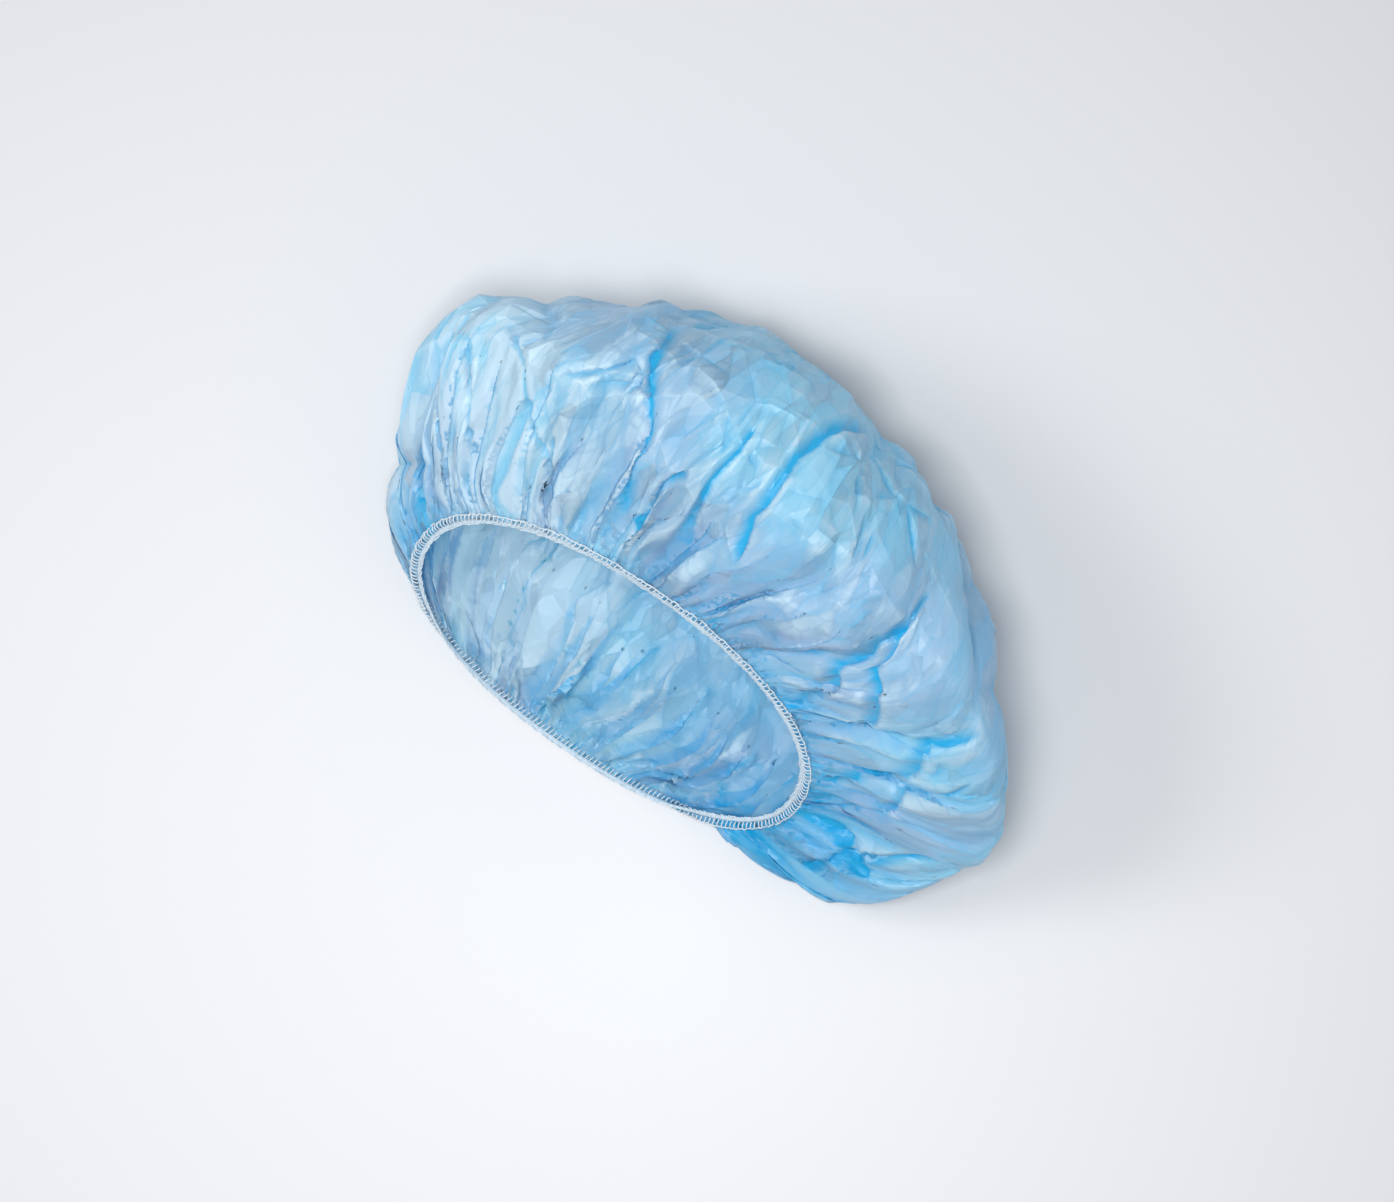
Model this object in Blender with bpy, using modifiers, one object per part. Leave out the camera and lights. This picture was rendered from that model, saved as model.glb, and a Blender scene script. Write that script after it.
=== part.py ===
"""Disposable bouffant hairnet: a thin gathered nonwoven cap lying on its side."""

from collections import namedtuple
from math import cos, pi, radians, sin

import bmesh
import bpy
import numpy as np
from mathutils import Matrix, Vector

# Driving dimensions, in metres
MM = 0.001
WALL = 1.2 * MM
HEM_RADIUS = 1.9 * MM
CLEARANCE = 0.3 * MM
RIM_REACH = HEM_RADIUS + CLEARANCE + 0.9 * WALL

# Fineness of the mesh
COLUMNS = 96
ROWS = 24
FIRST_ROW_AT = 0.04
ROW_CROWDING = 1.15
LAST_NORMAL_AT = 0.985
NORMAL_STEP = 0.02
HEM_SIDES_RESOLUTION = 2

# The cap is lofted from its mouth to its crown through leaning ovals.
# x, y, z: centre; left, right, up, down: half sizes, all in millimetres.
# lean: how far the top of the oval tips towards the crown, in degrees.
# turn: how far its right end comes forward, in degrees.
# square: 2 is an ellipse, more is boxier.
Section = namedtuple("Section", "name at x y z left right up down lean turn square")
SECTIONS = [
    Section("hem", 0.00, -16, -46, 41.5, 77, 77, 52, 49.5, 37.5, 3.5, 2.2),
    Section("gathers", 0.09, -14, -36, 46, 94, 95, 57, 56, 33, 5, 2.2),
    Section("front puff", 0.25, -5, -20, 58, 120, 126, 69, 67, 26, 11, 2.2),
    Section("belt", 0.45, 0, 2, 66, 132, 134, 75, 73, 25, 12, 2.2),
    Section("back puff", 0.66, 0, 27, 57, 114, 108, 72, 67, 31, 12, 2.2),
    Section("back", 0.82, -2, 42, 31, 85, 84, 52, 48, 44, 10, 2.2),
    Section("underside", 0.93, -5, 48, 8, 46, 44, 26, 26, 66, 8, 2.1),
    Section("crown centre", 1.00, -6, 48, 0, 0, 0, 0, 0, 80, 8, 2.0),
]

# Sunken folds that run from the hem towards the crown.
# angle: where it starts round the mouth, in degrees from the right end, over the top.
# drift: how far it has turned at its end; start, end: where it runs, hem 0 to crown 1.
# depth in millimetres, width in degrees.
Fold = namedtuple("Fold", "name angle drift start end depth width")
FOLDS = [
    Fold("front lobe pleat", -38, 4, 0.10, 0.60, 4, 8),
    Fold("lower right pleat", -17, 2, 0.14, 0.80, 5, 8),
    Fold("right end pleat", 5, 3, 0.05, 0.90, 6, 8),
    Fold("right pleat", 26, -2, 0.08, 0.95, 7, 7),
    Fold("upper right pleat", 44, 0, 0.04, 0.95, 9, 6),
    Fold("short top pleat", 62, -2, 0.16, 0.95, 6, 6),
    Fold("centre pleat", 79, 0, 0.03, 0.95, 10, 6),
    Fold("short left pleat", 97, 6, 0.10, 0.70, 6, 6),
    Fold("top left pleat", 116, 8, 0.04, 0.92, 8, 7),
    Fold("upper left pleat", 145, 5, 0.06, 0.95, 9, 8),
    Fold("left pleat", 171, 4, 0.08, 0.80, 6, 8),
    Fold("left lobe pleat", 193, 2, 0.06, 0.60, 8, 8),
]

FOLD_SHARPNESS = 1.4
FOLD_END_ROUNDNESS = 0.6

# Broad puffs and hollows of the lying cap.
# angle and at: the middle of the place; x, y, z: how far the cloth moves there, in millimetres.
Lobe = namedtuple("Lobe", "name angle at x y z angle_spread at_spread")
LOBES = [
    Lobe("front lobe", -36, 0.17, 12, -21, 4, 20, 0.12),
    Lobe("left lobe", 207, 0.14, -8, -5, 0, 24, 0.12),
    Lobe("left back hollow", 144, 0.62, 6, -9, 0, 24, 0.20),
]

# The cloth beside the hem keeps to it up to here
HEM_STIFF_AT = 0.07

# Small gathers beside the hem
GATHER_RIM_DEPTH = 0.7 * MM
GATHER_DEPTH = 2.0 * MM
GATHER_PEAK_AT = 0.07
GATHER_END_AT = 0.30
GATHER_VARIATION = 0.45
GATHER_RHYTHM = 2.4
GATHER_PRESSING = 0.75
PRESSED_BELOW = 0.7

FABRIC_COLOUR = (0.27, 0.52, 0.74)
HEM_COLOUR = (0.62, 0.72, 0.80)


def clear_objects():
    for item in list(bpy.data.objects):
        bpy.data.objects.remove(item, do_unlink=True)


def material(name, colour, roughness):
    made = bpy.data.materials.new(name)
    made.use_nodes = True
    shader = made.node_tree.nodes["Principled BSDF"]
    shader.inputs["Base Color"].default_value = (*colour, 1.0)
    shader.inputs["Roughness"].default_value = roughness
    shader.inputs["Metallic"].default_value = 0.0
    return made


def ease(value, low, high):
    """Smooth step from 0 at low to 1 at high."""
    share = min(max((value - low) / (high - low), 0.0), 1.0)
    return share * share * (3.0 - 2.0 * share)


def section_at(at):
    """Section sizes at any place from hem to crown, on a smooth curve through the rows."""
    places = [row.at for row in SECTIONS]
    last = len(SECTIONS) - 1
    index = max(i for i in range(last) if places[i] <= at or i == 0)
    before, low, high, after = (
        np.array(SECTIONS[min(max(i, 0), last)][1:], dtype=float)
        for i in (index - 1, index, index + 1, index + 2)
    )
    span = high[0] - low[0]
    share = (at - low[0]) / span
    low_slope = (high - before) / (high[0] - before[0]) * span
    high_slope = (after - low) / (after[0] - low[0]) * span
    s2, s3 = share * share, share ** 3
    mixed = (
        (2 * s3 - 3 * s2 + 1) * low
        + (s3 - 2 * s2 + share) * low_slope
        + (3 * s2 - 2 * s3) * high
        + (s3 - s2) * high_slope
    )
    return Section("between", *mixed)


def plain_point(angle, at):
    """Point of the plain cap, before folds and puffs, in metres."""
    oval = section_at(at)
    turn, lean = radians(oval.turn), radians(oval.lean)
    right = np.array([cos(turn), -sin(turn), 0.0])
    back = np.array([sin(turn), cos(turn), 0.0])
    upward = back * sin(lean) + np.array([0.0, 0.0, cos(lean)])
    c, s = cos(angle), sin(angle)
    across = (oval.right if c >= 0 else oval.left) * np.sign(c) * abs(c) ** (2 / oval.square)
    height = (oval.up if s >= 0 else oval.down) * np.sign(s) * abs(s) ** (2 / oval.square)
    centre = np.array([oval.x, oval.y, oval.z])
    return (centre + across * right + height * upward) * MM


def outward(angle, at):
    """Unit normal of the plain cap, away from its hollow."""
    low = max(at - NORMAL_STEP, 0.0)
    high = min(max(at + NORMAL_STEP, FIRST_ROW_AT), LAST_NORMAL_AT)
    along = plain_point(angle, high) - plain_point(angle, low)
    round_mouth = plain_point(angle + NORMAL_STEP, at) - plain_point(angle - NORMAL_STEP, at)
    normal = np.cross(along, round_mouth)
    return normal / np.linalg.norm(normal)


def angle_gap(angle, other):
    """Smallest difference of two angles, in degrees."""
    return (angle - other + 180.0) % 360.0 - 180.0


def fold_depth(angle, at):
    degrees = np.degrees(angle)
    depth = 0.0
    for fold in FOLDS:
        if fold.start < at < fold.end:
            along = (at - fold.start) / (fold.end - fold.start)
            middle = fold.angle + fold.drift * along
            across = angle_gap(degrees, middle) / fold.width
            ends = sin(pi * along) ** FOLD_END_ROUNDNESS
            depth += fold.depth * MM * ends * np.exp(-abs(across) ** FOLD_SHARPNESS)
    return depth


def lobe_shift(angle, at):
    """Sideways move of the broad puffs and hollows, none at the hem."""
    degrees = np.degrees(angle)
    shift = np.zeros(3)
    for lobe in LOBES:
        across = angle_gap(degrees, lobe.angle) / lobe.angle_spread
        along = (at - lobe.at) / lobe.at_spread
        share = np.exp(-across * across - along * along) * ease(at, 0.0, HEM_STIFF_AT)
        shift += share * MM * np.array([lobe.x, lobe.y, lobe.z])
    return shift


def gather_height(column, at):
    """Zigzag of the small gathers: every other column stands out."""
    if at >= GATHER_END_AT:
        return 0.0
    side = 1.0 if column % 2 else -1.0
    unlike = 1.0 - GATHER_VARIATION * (0.5 + 0.5 * sin(GATHER_RHYTHM * column))
    grown = ease(at, 0.0, GATHER_PEAK_AT)
    faded = 1.0 - ease(at, GATHER_PEAK_AT, GATHER_END_AT * unlike)
    depth = GATHER_RIM_DEPTH + (GATHER_DEPTH - GATHER_RIM_DEPTH) * grown
    lowness = -sin(2 * pi * column / COLUMNS)
    pressed = 1.0 - GATHER_PRESSING * ease(lowness, 0.0, PRESSED_BELOW)
    return side * depth * faded * pressed


def cloth_point(column, at):
    angle = 2 * pi * column / COLUMNS
    swell = gather_height(column, at) - fold_depth(angle, at)
    point = plain_point(angle, at) + lobe_shift(angle, at) + outward(angle, at) * swell
    point[2] = max(point[2], 0.0)
    return point


def hem_point(column):
    return plain_point(2 * pi * column / COLUMNS, 0.0)


def rim_point(column):
    """Edge of the cloth, just clear of the hem's roll."""
    hem = hem_point(column)
    along = hem_point(column + 1) - hem_point(column - 1)
    along = along / np.linalg.norm(along)
    away = cloth_point(column, FIRST_ROW_AT) - hem
    away = away - along * np.dot(away, along)
    away = away / np.linalg.norm(away)
    side = outward(2 * pi * column / COLUMNS, 0.0) * gather_height(column, 0.0)
    return hem + away * RIM_REACH + side


def row_places():
    """Rows from the rim's first to the crown's last, closer together in the gathers."""
    shares = np.linspace(0.0, 1.0, ROWS)[:-1]
    return [FIRST_ROW_AT + (1.0 - FIRST_ROW_AT) * share ** ROW_CROWDING for share in shares]


def make_shell(parts):
    mesh = bpy.data.meshes.new("cap_shell")
    cap = bmesh.new()
    rings = [[cap.verts.new(rim_point(column)) for column in range(COLUMNS)]]
    for at in row_places():
        rings.append([cap.verts.new(cloth_point(column, at)) for column in range(COLUMNS)])
    crown = cap.verts.new(plain_point(0.0, 1.0))
    for ring, following in zip(rings, rings[1:]):
        for column in range(COLUMNS):
            beside = (column + 1) % COLUMNS
            cap.faces.new((ring[column], following[column], following[beside], ring[beside]))
    for column in range(COLUMNS):
        cap.faces.new((crown, rings[-1][(column + 1) % COLUMNS], rings[-1][column]))
    cap.to_mesh(mesh)
    cap.free()
    mesh.shade_smooth()
    shell = bpy.data.objects.new("cap_shell", mesh)
    parts.objects.link(shell)
    wall = shell.modifiers.new("wall", "SOLIDIFY")
    wall.thickness = WALL
    wall.offset = -1.0
    mesh.materials.append(material("pale blue nonwoven", FABRIC_COLOUR, 0.62))
    return shell


def make_hem(parts):
    path = bpy.data.curves.new("elastic_hem", "CURVE")
    path.dimensions = "3D"
    path.bevel_depth = HEM_RADIUS
    path.bevel_resolution = HEM_SIDES_RESOLUTION
    loop = path.splines.new("POLY")
    loop.points.add(COLUMNS - 1)
    for column in range(COLUMNS):
        loop.points[column].co = (*hem_point(column), 1.0)
    loop.use_cyclic_u = True
    loop.use_smooth = True
    hem = bpy.data.objects.new("elastic_hem", path)
    parts.objects.link(hem)
    path.materials.append(material("white overlock thread", HEM_COLOUR, 0.8))
    return hem


def rest_on_origin(pieces):
    """Move the pieces together so that their box stands centred on the origin."""
    graph = bpy.context.evaluated_depsgraph_get()
    points = []
    for piece in pieces:
        shown = piece.evaluated_get(graph)
        points.extend(tuple(vertex.co) for vertex in shown.to_mesh().vertices)
        shown.to_mesh_clear()
    low = Vector(map(min, zip(*points)))
    high = Vector(map(max, zip(*points)))
    centre = (low + high) / 2.0
    shift = Matrix.Translation((-centre.x, -centre.y, -low.z))
    for piece in pieces:
        piece.data.transform(shift)


def main():
    clear_objects()
    parts = bpy.data.collections.new("disposable_hairnet")
    bpy.context.scene.collection.children.link(parts)
    rest_on_origin([make_shell(parts), make_hem(parts)])


main()
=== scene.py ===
from math import cos, pi, radians, sin, tan

import bmesh
import bpy
import numpy as np
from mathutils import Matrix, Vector, geometry
from mathutils.bvhtree import BVHTree
from mathutils.kdtree import KDTree


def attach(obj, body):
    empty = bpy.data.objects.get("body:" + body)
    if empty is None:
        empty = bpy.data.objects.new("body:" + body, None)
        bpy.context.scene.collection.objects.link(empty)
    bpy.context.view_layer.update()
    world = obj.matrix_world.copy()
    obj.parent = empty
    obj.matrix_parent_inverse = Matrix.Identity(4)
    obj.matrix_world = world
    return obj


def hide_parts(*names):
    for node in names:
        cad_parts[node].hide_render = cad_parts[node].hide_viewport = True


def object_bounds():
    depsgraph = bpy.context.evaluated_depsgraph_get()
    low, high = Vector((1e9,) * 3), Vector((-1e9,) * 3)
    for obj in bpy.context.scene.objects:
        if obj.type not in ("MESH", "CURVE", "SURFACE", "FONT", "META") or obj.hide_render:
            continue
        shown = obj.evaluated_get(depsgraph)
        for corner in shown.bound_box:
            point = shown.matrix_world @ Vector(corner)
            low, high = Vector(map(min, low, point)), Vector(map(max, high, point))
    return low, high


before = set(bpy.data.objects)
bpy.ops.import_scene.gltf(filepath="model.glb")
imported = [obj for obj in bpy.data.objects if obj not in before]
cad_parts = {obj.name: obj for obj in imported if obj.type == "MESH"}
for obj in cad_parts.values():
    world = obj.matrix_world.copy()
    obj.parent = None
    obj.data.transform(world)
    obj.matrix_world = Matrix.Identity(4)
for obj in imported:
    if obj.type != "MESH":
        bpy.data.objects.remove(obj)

mm = 0.001
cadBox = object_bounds()
scene = bpy.context.scene

# The picture looks straight down, with the cap's long way turned in it
picture = {
    "width": 1394,
    "height": 1202,
    "turn": radians(31.3),
    "scale": 0.342 * mm,  # a pixel's real size
    "along": 919.6,  # the cap's own middle, in turned pixels
    "across": -120.8,
}


def placeOfPixel(x, y):
    # where a pixel lies over the table, in metres
    c, s = cos(picture["turn"]), sin(picture["turn"])
    along = x * c + y * s - picture["along"]
    across = x * s - y * c - picture["across"]
    return along * picture["scale"], across * picture["scale"]


camera = {
    "lens": 180.0,
    "sensor": 36.0,
    "aimHeight": 45 * mm,
}
camera["distance"] = picture["width"] * picture["scale"] * camera["lens"] / camera["sensor"]
camera["place"] = (
    *placeOfPixel(picture["width"] / 2, picture["height"] / 2),
    camera["aimHeight"] + camera["distance"],
)

# The lying cap as leaning ovals from the hem to the crown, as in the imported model:
# at, centre x y z, half sizes left right up down, lean and turn in degrees, squareness
ovals = {
    "hem": (0.00, -16, -46, 41.5, 77, 77, 52, 49.5, 37.5, 3.5, 2.2),
    "gathers": (0.09, -14, -36, 46, 94, 95, 57, 56, 33, 5, 2.2),
    "frontPuff": (0.25, -5, -20, 58, 120, 126, 69, 67, 26, 11, 2.2),
    "belt": (0.45, 0, 2, 66, 132, 134, 75, 73, 25, 12, 2.2),
    "backPuff": (0.66, 0, 27, 57, 114, 108, 72, 67, 31, 12, 2.2),
    "back": (0.82, -2, 42, 31, 85, 84, 52, 48, 44, 10, 2.2),
    "underside": (0.93, -5, 48, 8, 46, 44, 26, 26, 66, 8, 2.1),
    "crown": (1.00, -6, 48, 0, 0, 0, 0, 0, 80, 8, 2.0),
}
ovalShift = np.array([-0.8, -0.9, 0.0]) * mm

# Broad sunken folds: angle round the mouth, drift, start, end, depth in mm, width in degrees
valleys = {
    "frontLobe": (-38, 4, 0.10, 0.60, 4, 8),
    "lowerRight": (-17, 2, 0.14, 0.80, 5, 8),
    "rightEnd": (5, 3, 0.05, 0.90, 6, 8),
    "right": (26, -2, 0.08, 0.95, 7, 7),
    "upperRight": (44, 0, 0.04, 0.95, 9, 6),
    "shortTop": (62, -2, 0.16, 0.95, 6, 6),
    "centre": (79, 0, 0.03, 0.95, 10, 6),
    "shortLeft": (97, 6, 0.10, 0.70, 6, 6),
    "topLeft": (116, 8, 0.04, 0.92, 8, 7),
    "upperLeft": (145, 5, 0.06, 0.95, 9, 8),
    "left": (171, 4, 0.08, 0.80, 6, 8),
    "leftLobe": (193, 2, 0.06, 0.60, 8, 8),
}

# Broad puffs and hollows: angle, at, shift x y z in mm, spread of the angle and of at
lobes = {
    "front": (-36, 0.17, 12, -21, 4, 20, 0.12),
    "left": (207, 0.14, -8, -5, 0, 24, 0.12),
    "leftBack": (144, 0.62, 6, -9, 0, 24, 0.20),
}


def ease(value, low, high):
    share = np.clip((value - low) / (high - low), 0.0, 1.0)
    return share * share * (3.0 - 2.0 * share)


def ovalAt(at):
    # smooth curve through the oval table, for many places at once
    table = np.array(list(ovals.values()), float)
    last = len(table) - 1
    index = np.clip(np.searchsorted(table[:, 0], at, side="right") - 1, 0, last - 1)
    before = table[np.maximum(index - 1, 0)]
    low = table[index]
    high = table[index + 1]
    after = table[np.minimum(index + 2, last)]
    span = (high[:, 0] - low[:, 0])[:, None]
    share = (at[:, None] - low[:, :1]) / span
    lowSlope = (high - before) / (high[:, :1] - before[:, :1]) * span
    highSlope = (after - low) / (after[:, :1] - low[:, :1]) * span
    s2, s3 = share ** 2, share ** 3
    mixed = (2 * s3 - 3 * s2 + 1) * low + (s3 - 2 * s2 + share) * lowSlope
    mixed += (3 * s2 - 2 * s3) * high + (s3 - s2) * highSlope
    return mixed.T


def plainPoints(angle, at):
    # points of the smooth lying form, for arrays of angle and at
    _, x, y, z, left, right, up, down, lean, turn, square = ovalAt(at)
    turn, lean = np.radians(turn), np.radians(lean)
    none = np.zeros_like(turn)
    rightWay = np.stack([np.cos(turn), -np.sin(turn), none], 1)
    backWay = np.stack([np.sin(turn), np.cos(turn), none], 1)
    upWay = backWay * np.sin(lean)[:, None] + np.stack([none, none, np.cos(lean)], 1)
    c, s = np.cos(angle), np.sin(angle)
    across = np.where(c >= 0, right, left) * np.sign(c) * np.abs(c) ** (2 / square)
    height = np.where(s >= 0, up, down) * np.sign(s) * np.abs(s) ** (2 / square)
    centre = np.stack([x, y, z], 1)
    return (centre + across[:, None] * rightWay + height[:, None] * upWay) * mm + ovalShift


def normalsOut(angle, at):
    # unit normals of the smooth form, away from its hollow
    step = 0.02
    low = np.clip(at - step, 0.0, 1.0)
    high = np.clip(np.maximum(at + step, 0.04), 0.0, 0.985)
    along = plainPoints(angle, high) - plainPoints(angle, low)
    roundMouth = plainPoints(angle + step, at) - plainPoints(angle - step, at)
    normal = np.cross(along, roundMouth)
    return normal / np.maximum(np.linalg.norm(normal, axis=1), 1e-9)[:, None]


def angleGap(angle, other):
    return (np.degrees(angle) - other + 180.0) % 360.0 - 180.0


def valleyDepth(angle, at):
    depth = np.zeros_like(at)
    for start, drift, low, high, deep, wide in valleys.values():
        along = np.clip((at - low) / (high - low), 0.0, 1.0)
        across = angleGap(angle, start + drift * along) / wide
        depth += deep * mm * np.sin(pi * along) ** 0.6 * np.exp(-np.abs(across) ** 1.4)
    return depth


def lobeShift(angle, at):
    shift = np.zeros((len(at), 3))
    for middle, place, x, y, z, wide, tall in lobes.values():
        across = angleGap(angle, middle) / wide
        along = (at - place) / tall
        share = np.exp(-across ** 2 - along ** 2) * ease(at, 0.0, 0.07)
        shift += share[:, None] * np.array([x, y, z]) * mm
    return shift


def formPoints(angle, at, swell=0.0):
    # the lying form with its valleys and lobes, moved out by swell
    out = swell - valleyDepth(angle, at)
    points = plainPoints(angle, at) + lobeShift(angle, at)
    return points + normalsOut(angle, at) * np.reshape(out, (-1, 1))


# The cloth is cut as a flat disc. Flat places are polar: turn round the disc and radius.
cloth = {
    "cutRadius": 0.2415,  # a cap cut 19 inches across
    "spacing": 2.95 * mm,  # between the points that are simulated
    "fineSpacing": 1.66 * mm,  # between the finished mesh's points
    "hemGathers": 88,  # folds that the simulation starts from
    "gatherDepth": 3.4 * mm,
    "seed": 7,
}


def hemAngles(turns):
    # angle on the hem's oval at even lengths round it
    angle = np.linspace(0, 2 * pi, 721)
    ring = plainPoints(angle, np.zeros_like(angle))
    length = np.concatenate([[0], np.cumsum(np.linalg.norm(np.diff(ring, axis=0), axis=1))])
    return np.interp((turns % (2 * pi)) / (2 * pi) * length[-1], length, angle)


def atOfRadius(radius):
    # how far from the hem a flat radius lies on the form, over its long upper side
    at = np.linspace(0, 1, 401)
    line = plainPoints(np.full_like(at, pi / 2), at)
    length = np.concatenate([[0], np.cumsum(np.linalg.norm(np.diff(line, axis=0), axis=1))])
    return np.interp(1 - radius / cloth["cutRadius"], length / length[-1], at)


def evenPoints(step, radius):
    # corners of even triangles inside a disc, then a ring of points on its edge
    rows = np.arange(-int(radius / step * 1.2), int(radius / step * 1.2) + 1)
    across, down = np.meshgrid(rows, rows)
    x = (across + 0.5 * (down % 2)) * step
    y = down * step * 0.866
    inside = np.hypot(x, y) < radius - 0.6 * step
    turns = np.arange(0, 2 * pi, step / radius)
    rim = np.stack([np.cos(turns), np.sin(turns)], 1) * radius
    return list(np.concatenate([np.stack([x[inside], y[inside]], 1), rim]))


def discMesh(flat):
    found = geometry.delaunay_2d_cdt([Vector(point) for point in flat], [], [], 0, 1e-7)
    return np.array(found[0]), found[2]


def gatherWave(turns, depthIn):
    # folds that start at the hem, and join in pairs further in
    folds = cloth["hemGathers"]
    rng = np.random.default_rng(cloth["seed"])
    wave = np.zeros_like(turns)
    for count, low, high, share in ((folds, 0, 34, 1.0), (folds / 2, 14, 70, 1.2), (folds / 4, 40, 120, 1.5)):
        bend = sum(rng.uniform(0.2, 0.6) * np.sin(turns * k + rng.uniform(0, 6)) for k in (2, 5, 9, 14))
        unlike = 0.7 + 0.3 * np.sin(turns * rng.integers(11, 31) + rng.uniform(0, 6))
        reach = (1 - ease(depthIn, low + (high - low) * 0.3, high * unlike)) * ease(depthIn, low * 0.3 - 1, low + 4)
        wave += share * unlike * reach * np.sin(round(count) * turns + bend)
    return wave * cloth["gatherDepth"]


def makeCloth():
    flat, faces = discMesh(evenPoints(cloth["spacing"], cloth["cutRadius"]))
    radius = np.hypot(flat[:, 0], flat[:, 1])
    turns = np.arctan2(flat[:, 1], flat[:, 0])
    angle, at = hemAngles(turns), atOfRadius(radius)
    depthIn = (cloth["cutRadius"] - radius) / mm
    points = formPoints(angle, at, gatherWave(turns, depthIn))
    points[:, 2] = np.maximum(points[:, 2], 0.4 * mm)
    mesh = bpy.data.meshes.new("capCloth")
    mesh.from_pydata(points.tolist(), [], faces)
    piece = bpy.data.objects.new("capCloth", mesh)
    scene.collection.objects.link(piece)
    return piece, flat, depthIn


# How the cloth is relaxed: it starts from the lying form and wants its flat size back
relax = {
    "frames": 30,
    "hold": 0.08,  # how strongly each point is kept to the lying form
    "quality": 5,
    "mass": 0.05,
    "tension": 12.0,
    "compression": 8.0,
    "shear": 4.0,
    "bending": 1.0,
    "pressure": 4.0,
    "gravity": 0.1,
    "driftPasses": 70,  # averaging passes that find the broad movement
    "driftTakenOut": 0.9,
    "levelPasses": 18,
    "foldsSeen": 0.38,  # how much of each fold stays where the picture shows the cloth
    "foldsHidden": 1.4,  # and on the far sides
    "smootherRight": 0.7,
    "foldsFrom": (1.5, 15),  # mm in from the hem, where they begin
}


def addWeights(piece, name, weights):
    group = piece.vertex_groups.new(name=name)
    for index, weight in enumerate(np.clip(weights, 0, 1)):
        group.add([index], float(weight), "REPLACE")


def simulateCloth(piece, flat, depthIn):
    floor = bpy.data.objects.new("simFloor", bpy.data.meshes.new("simFloor"))
    corners = [(-0.4, -0.4, 0), (0.4, -0.4, 0), (0.4, 0.4, 0), (-0.4, 0.4, 0)]
    floor.data.from_pydata(corners, [], [(0, 1, 2, 3)])
    scene.collection.objects.link(floor)
    floor.modifiers.new("collision", "COLLISION")
    floor.collision.thickness_outer = 0.5 * mm
    addWeights(piece, "held", np.where(depthIn < 0.1, 1.0, relax["hold"]))
    piece.shape_key_add(name="lying")
    cut = piece.shape_key_add(name="cut")  # the flat disc, whose lengths the cloth wants back
    cut.data.foreach_set("co", np.column_stack([flat, np.zeros(len(flat))]).ravel())
    weld = piece.modifiers.new("weld", "WELD")  # only after another modifier is the cut read
    weld.merge_threshold = 0.0005 * mm
    modifier = piece.modifiers.new("cloth", "CLOTH")
    settings = modifier.settings
    settings.vertex_group_mass = "held"
    settings.rest_shape_key = cut
    settings.pin_stiffness = 1.0
    settings.quality = relax["quality"]
    settings.mass = relax["mass"]
    settings.tension_stiffness = relax["tension"]
    settings.compression_stiffness = relax["compression"]
    settings.shear_stiffness = relax["shear"]
    settings.bending_stiffness = relax["bending"]
    settings.tension_damping = 15
    settings.compression_damping = 15
    settings.shear_damping = 8
    settings.bending_damping = 1
    settings.air_damping = 6
    settings.use_pressure = True
    settings.uniform_pressure_force = relax["pressure"]
    settings.effector_weights.gravity = relax["gravity"]
    modifier.collision_settings.distance_min = 0.5 * mm
    modifier.collision_settings.use_self_collision = False
    modifier.point_cache.frame_end = relax["frames"]
    for step in range(1, relax["frames"] + 1):
        scene.frame_set(step)
    graph = bpy.context.evaluated_depsgraph_get()
    result = bpy.data.meshes.new_from_object(piece.evaluated_get(graph))
    moved = np.array([point.co for point in result.vertices])
    bpy.data.meshes.remove(result)
    bpy.data.objects.remove(floor)
    return moved


def meshEdges(faces):
    # each edge once, and the edge that lies opposite each corner of each face
    corners = np.array(faces)
    pairs = np.sort(np.concatenate([corners[:, [1, 2]], corners[:, [2, 0]], corners[:, [0, 1]]]), axis=1)
    edges, back = np.unique(pairs, axis=0, return_inverse=True)
    return edges, back.reshape(3, -1).T


def averaged(values, edges, still, passes):
    # every value drawn to the mean of its neighbours, except where still
    count = len(values)
    ends = np.concatenate([edges[:, 0], edges[:, 1]])
    others = np.concatenate([edges[:, 1], edges[:, 0]])
    many = np.bincount(ends, minlength=count)[:, None]
    result = values.copy()
    for _ in range(passes):
        sums = [np.bincount(ends, result[others, axis], count) for axis in range(values.shape[1])]
        mean = np.stack(sums, 1) / many
        result = np.where(still[:, None], values, 0.3 * result + 0.7 * mean)
    return result


def hiddenShare(points, edges, faces):
    # one where more cloth lies between a place and the camera, eased at the borders
    tree = BVHTree.FromPolygons(points.tolist(), faces)
    hidden = np.zeros((len(points), 1))
    for index, point in enumerate(points):
        way = (Vector(camera["place"]) - Vector(point)).normalized()
        hidden[index] = tree.ray_cast(Vector(point) + way * 4 * mm, way)[0] is not None
    return averaged(hidden, edges, np.zeros(len(points), bool), 12)[:, 0]


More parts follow.
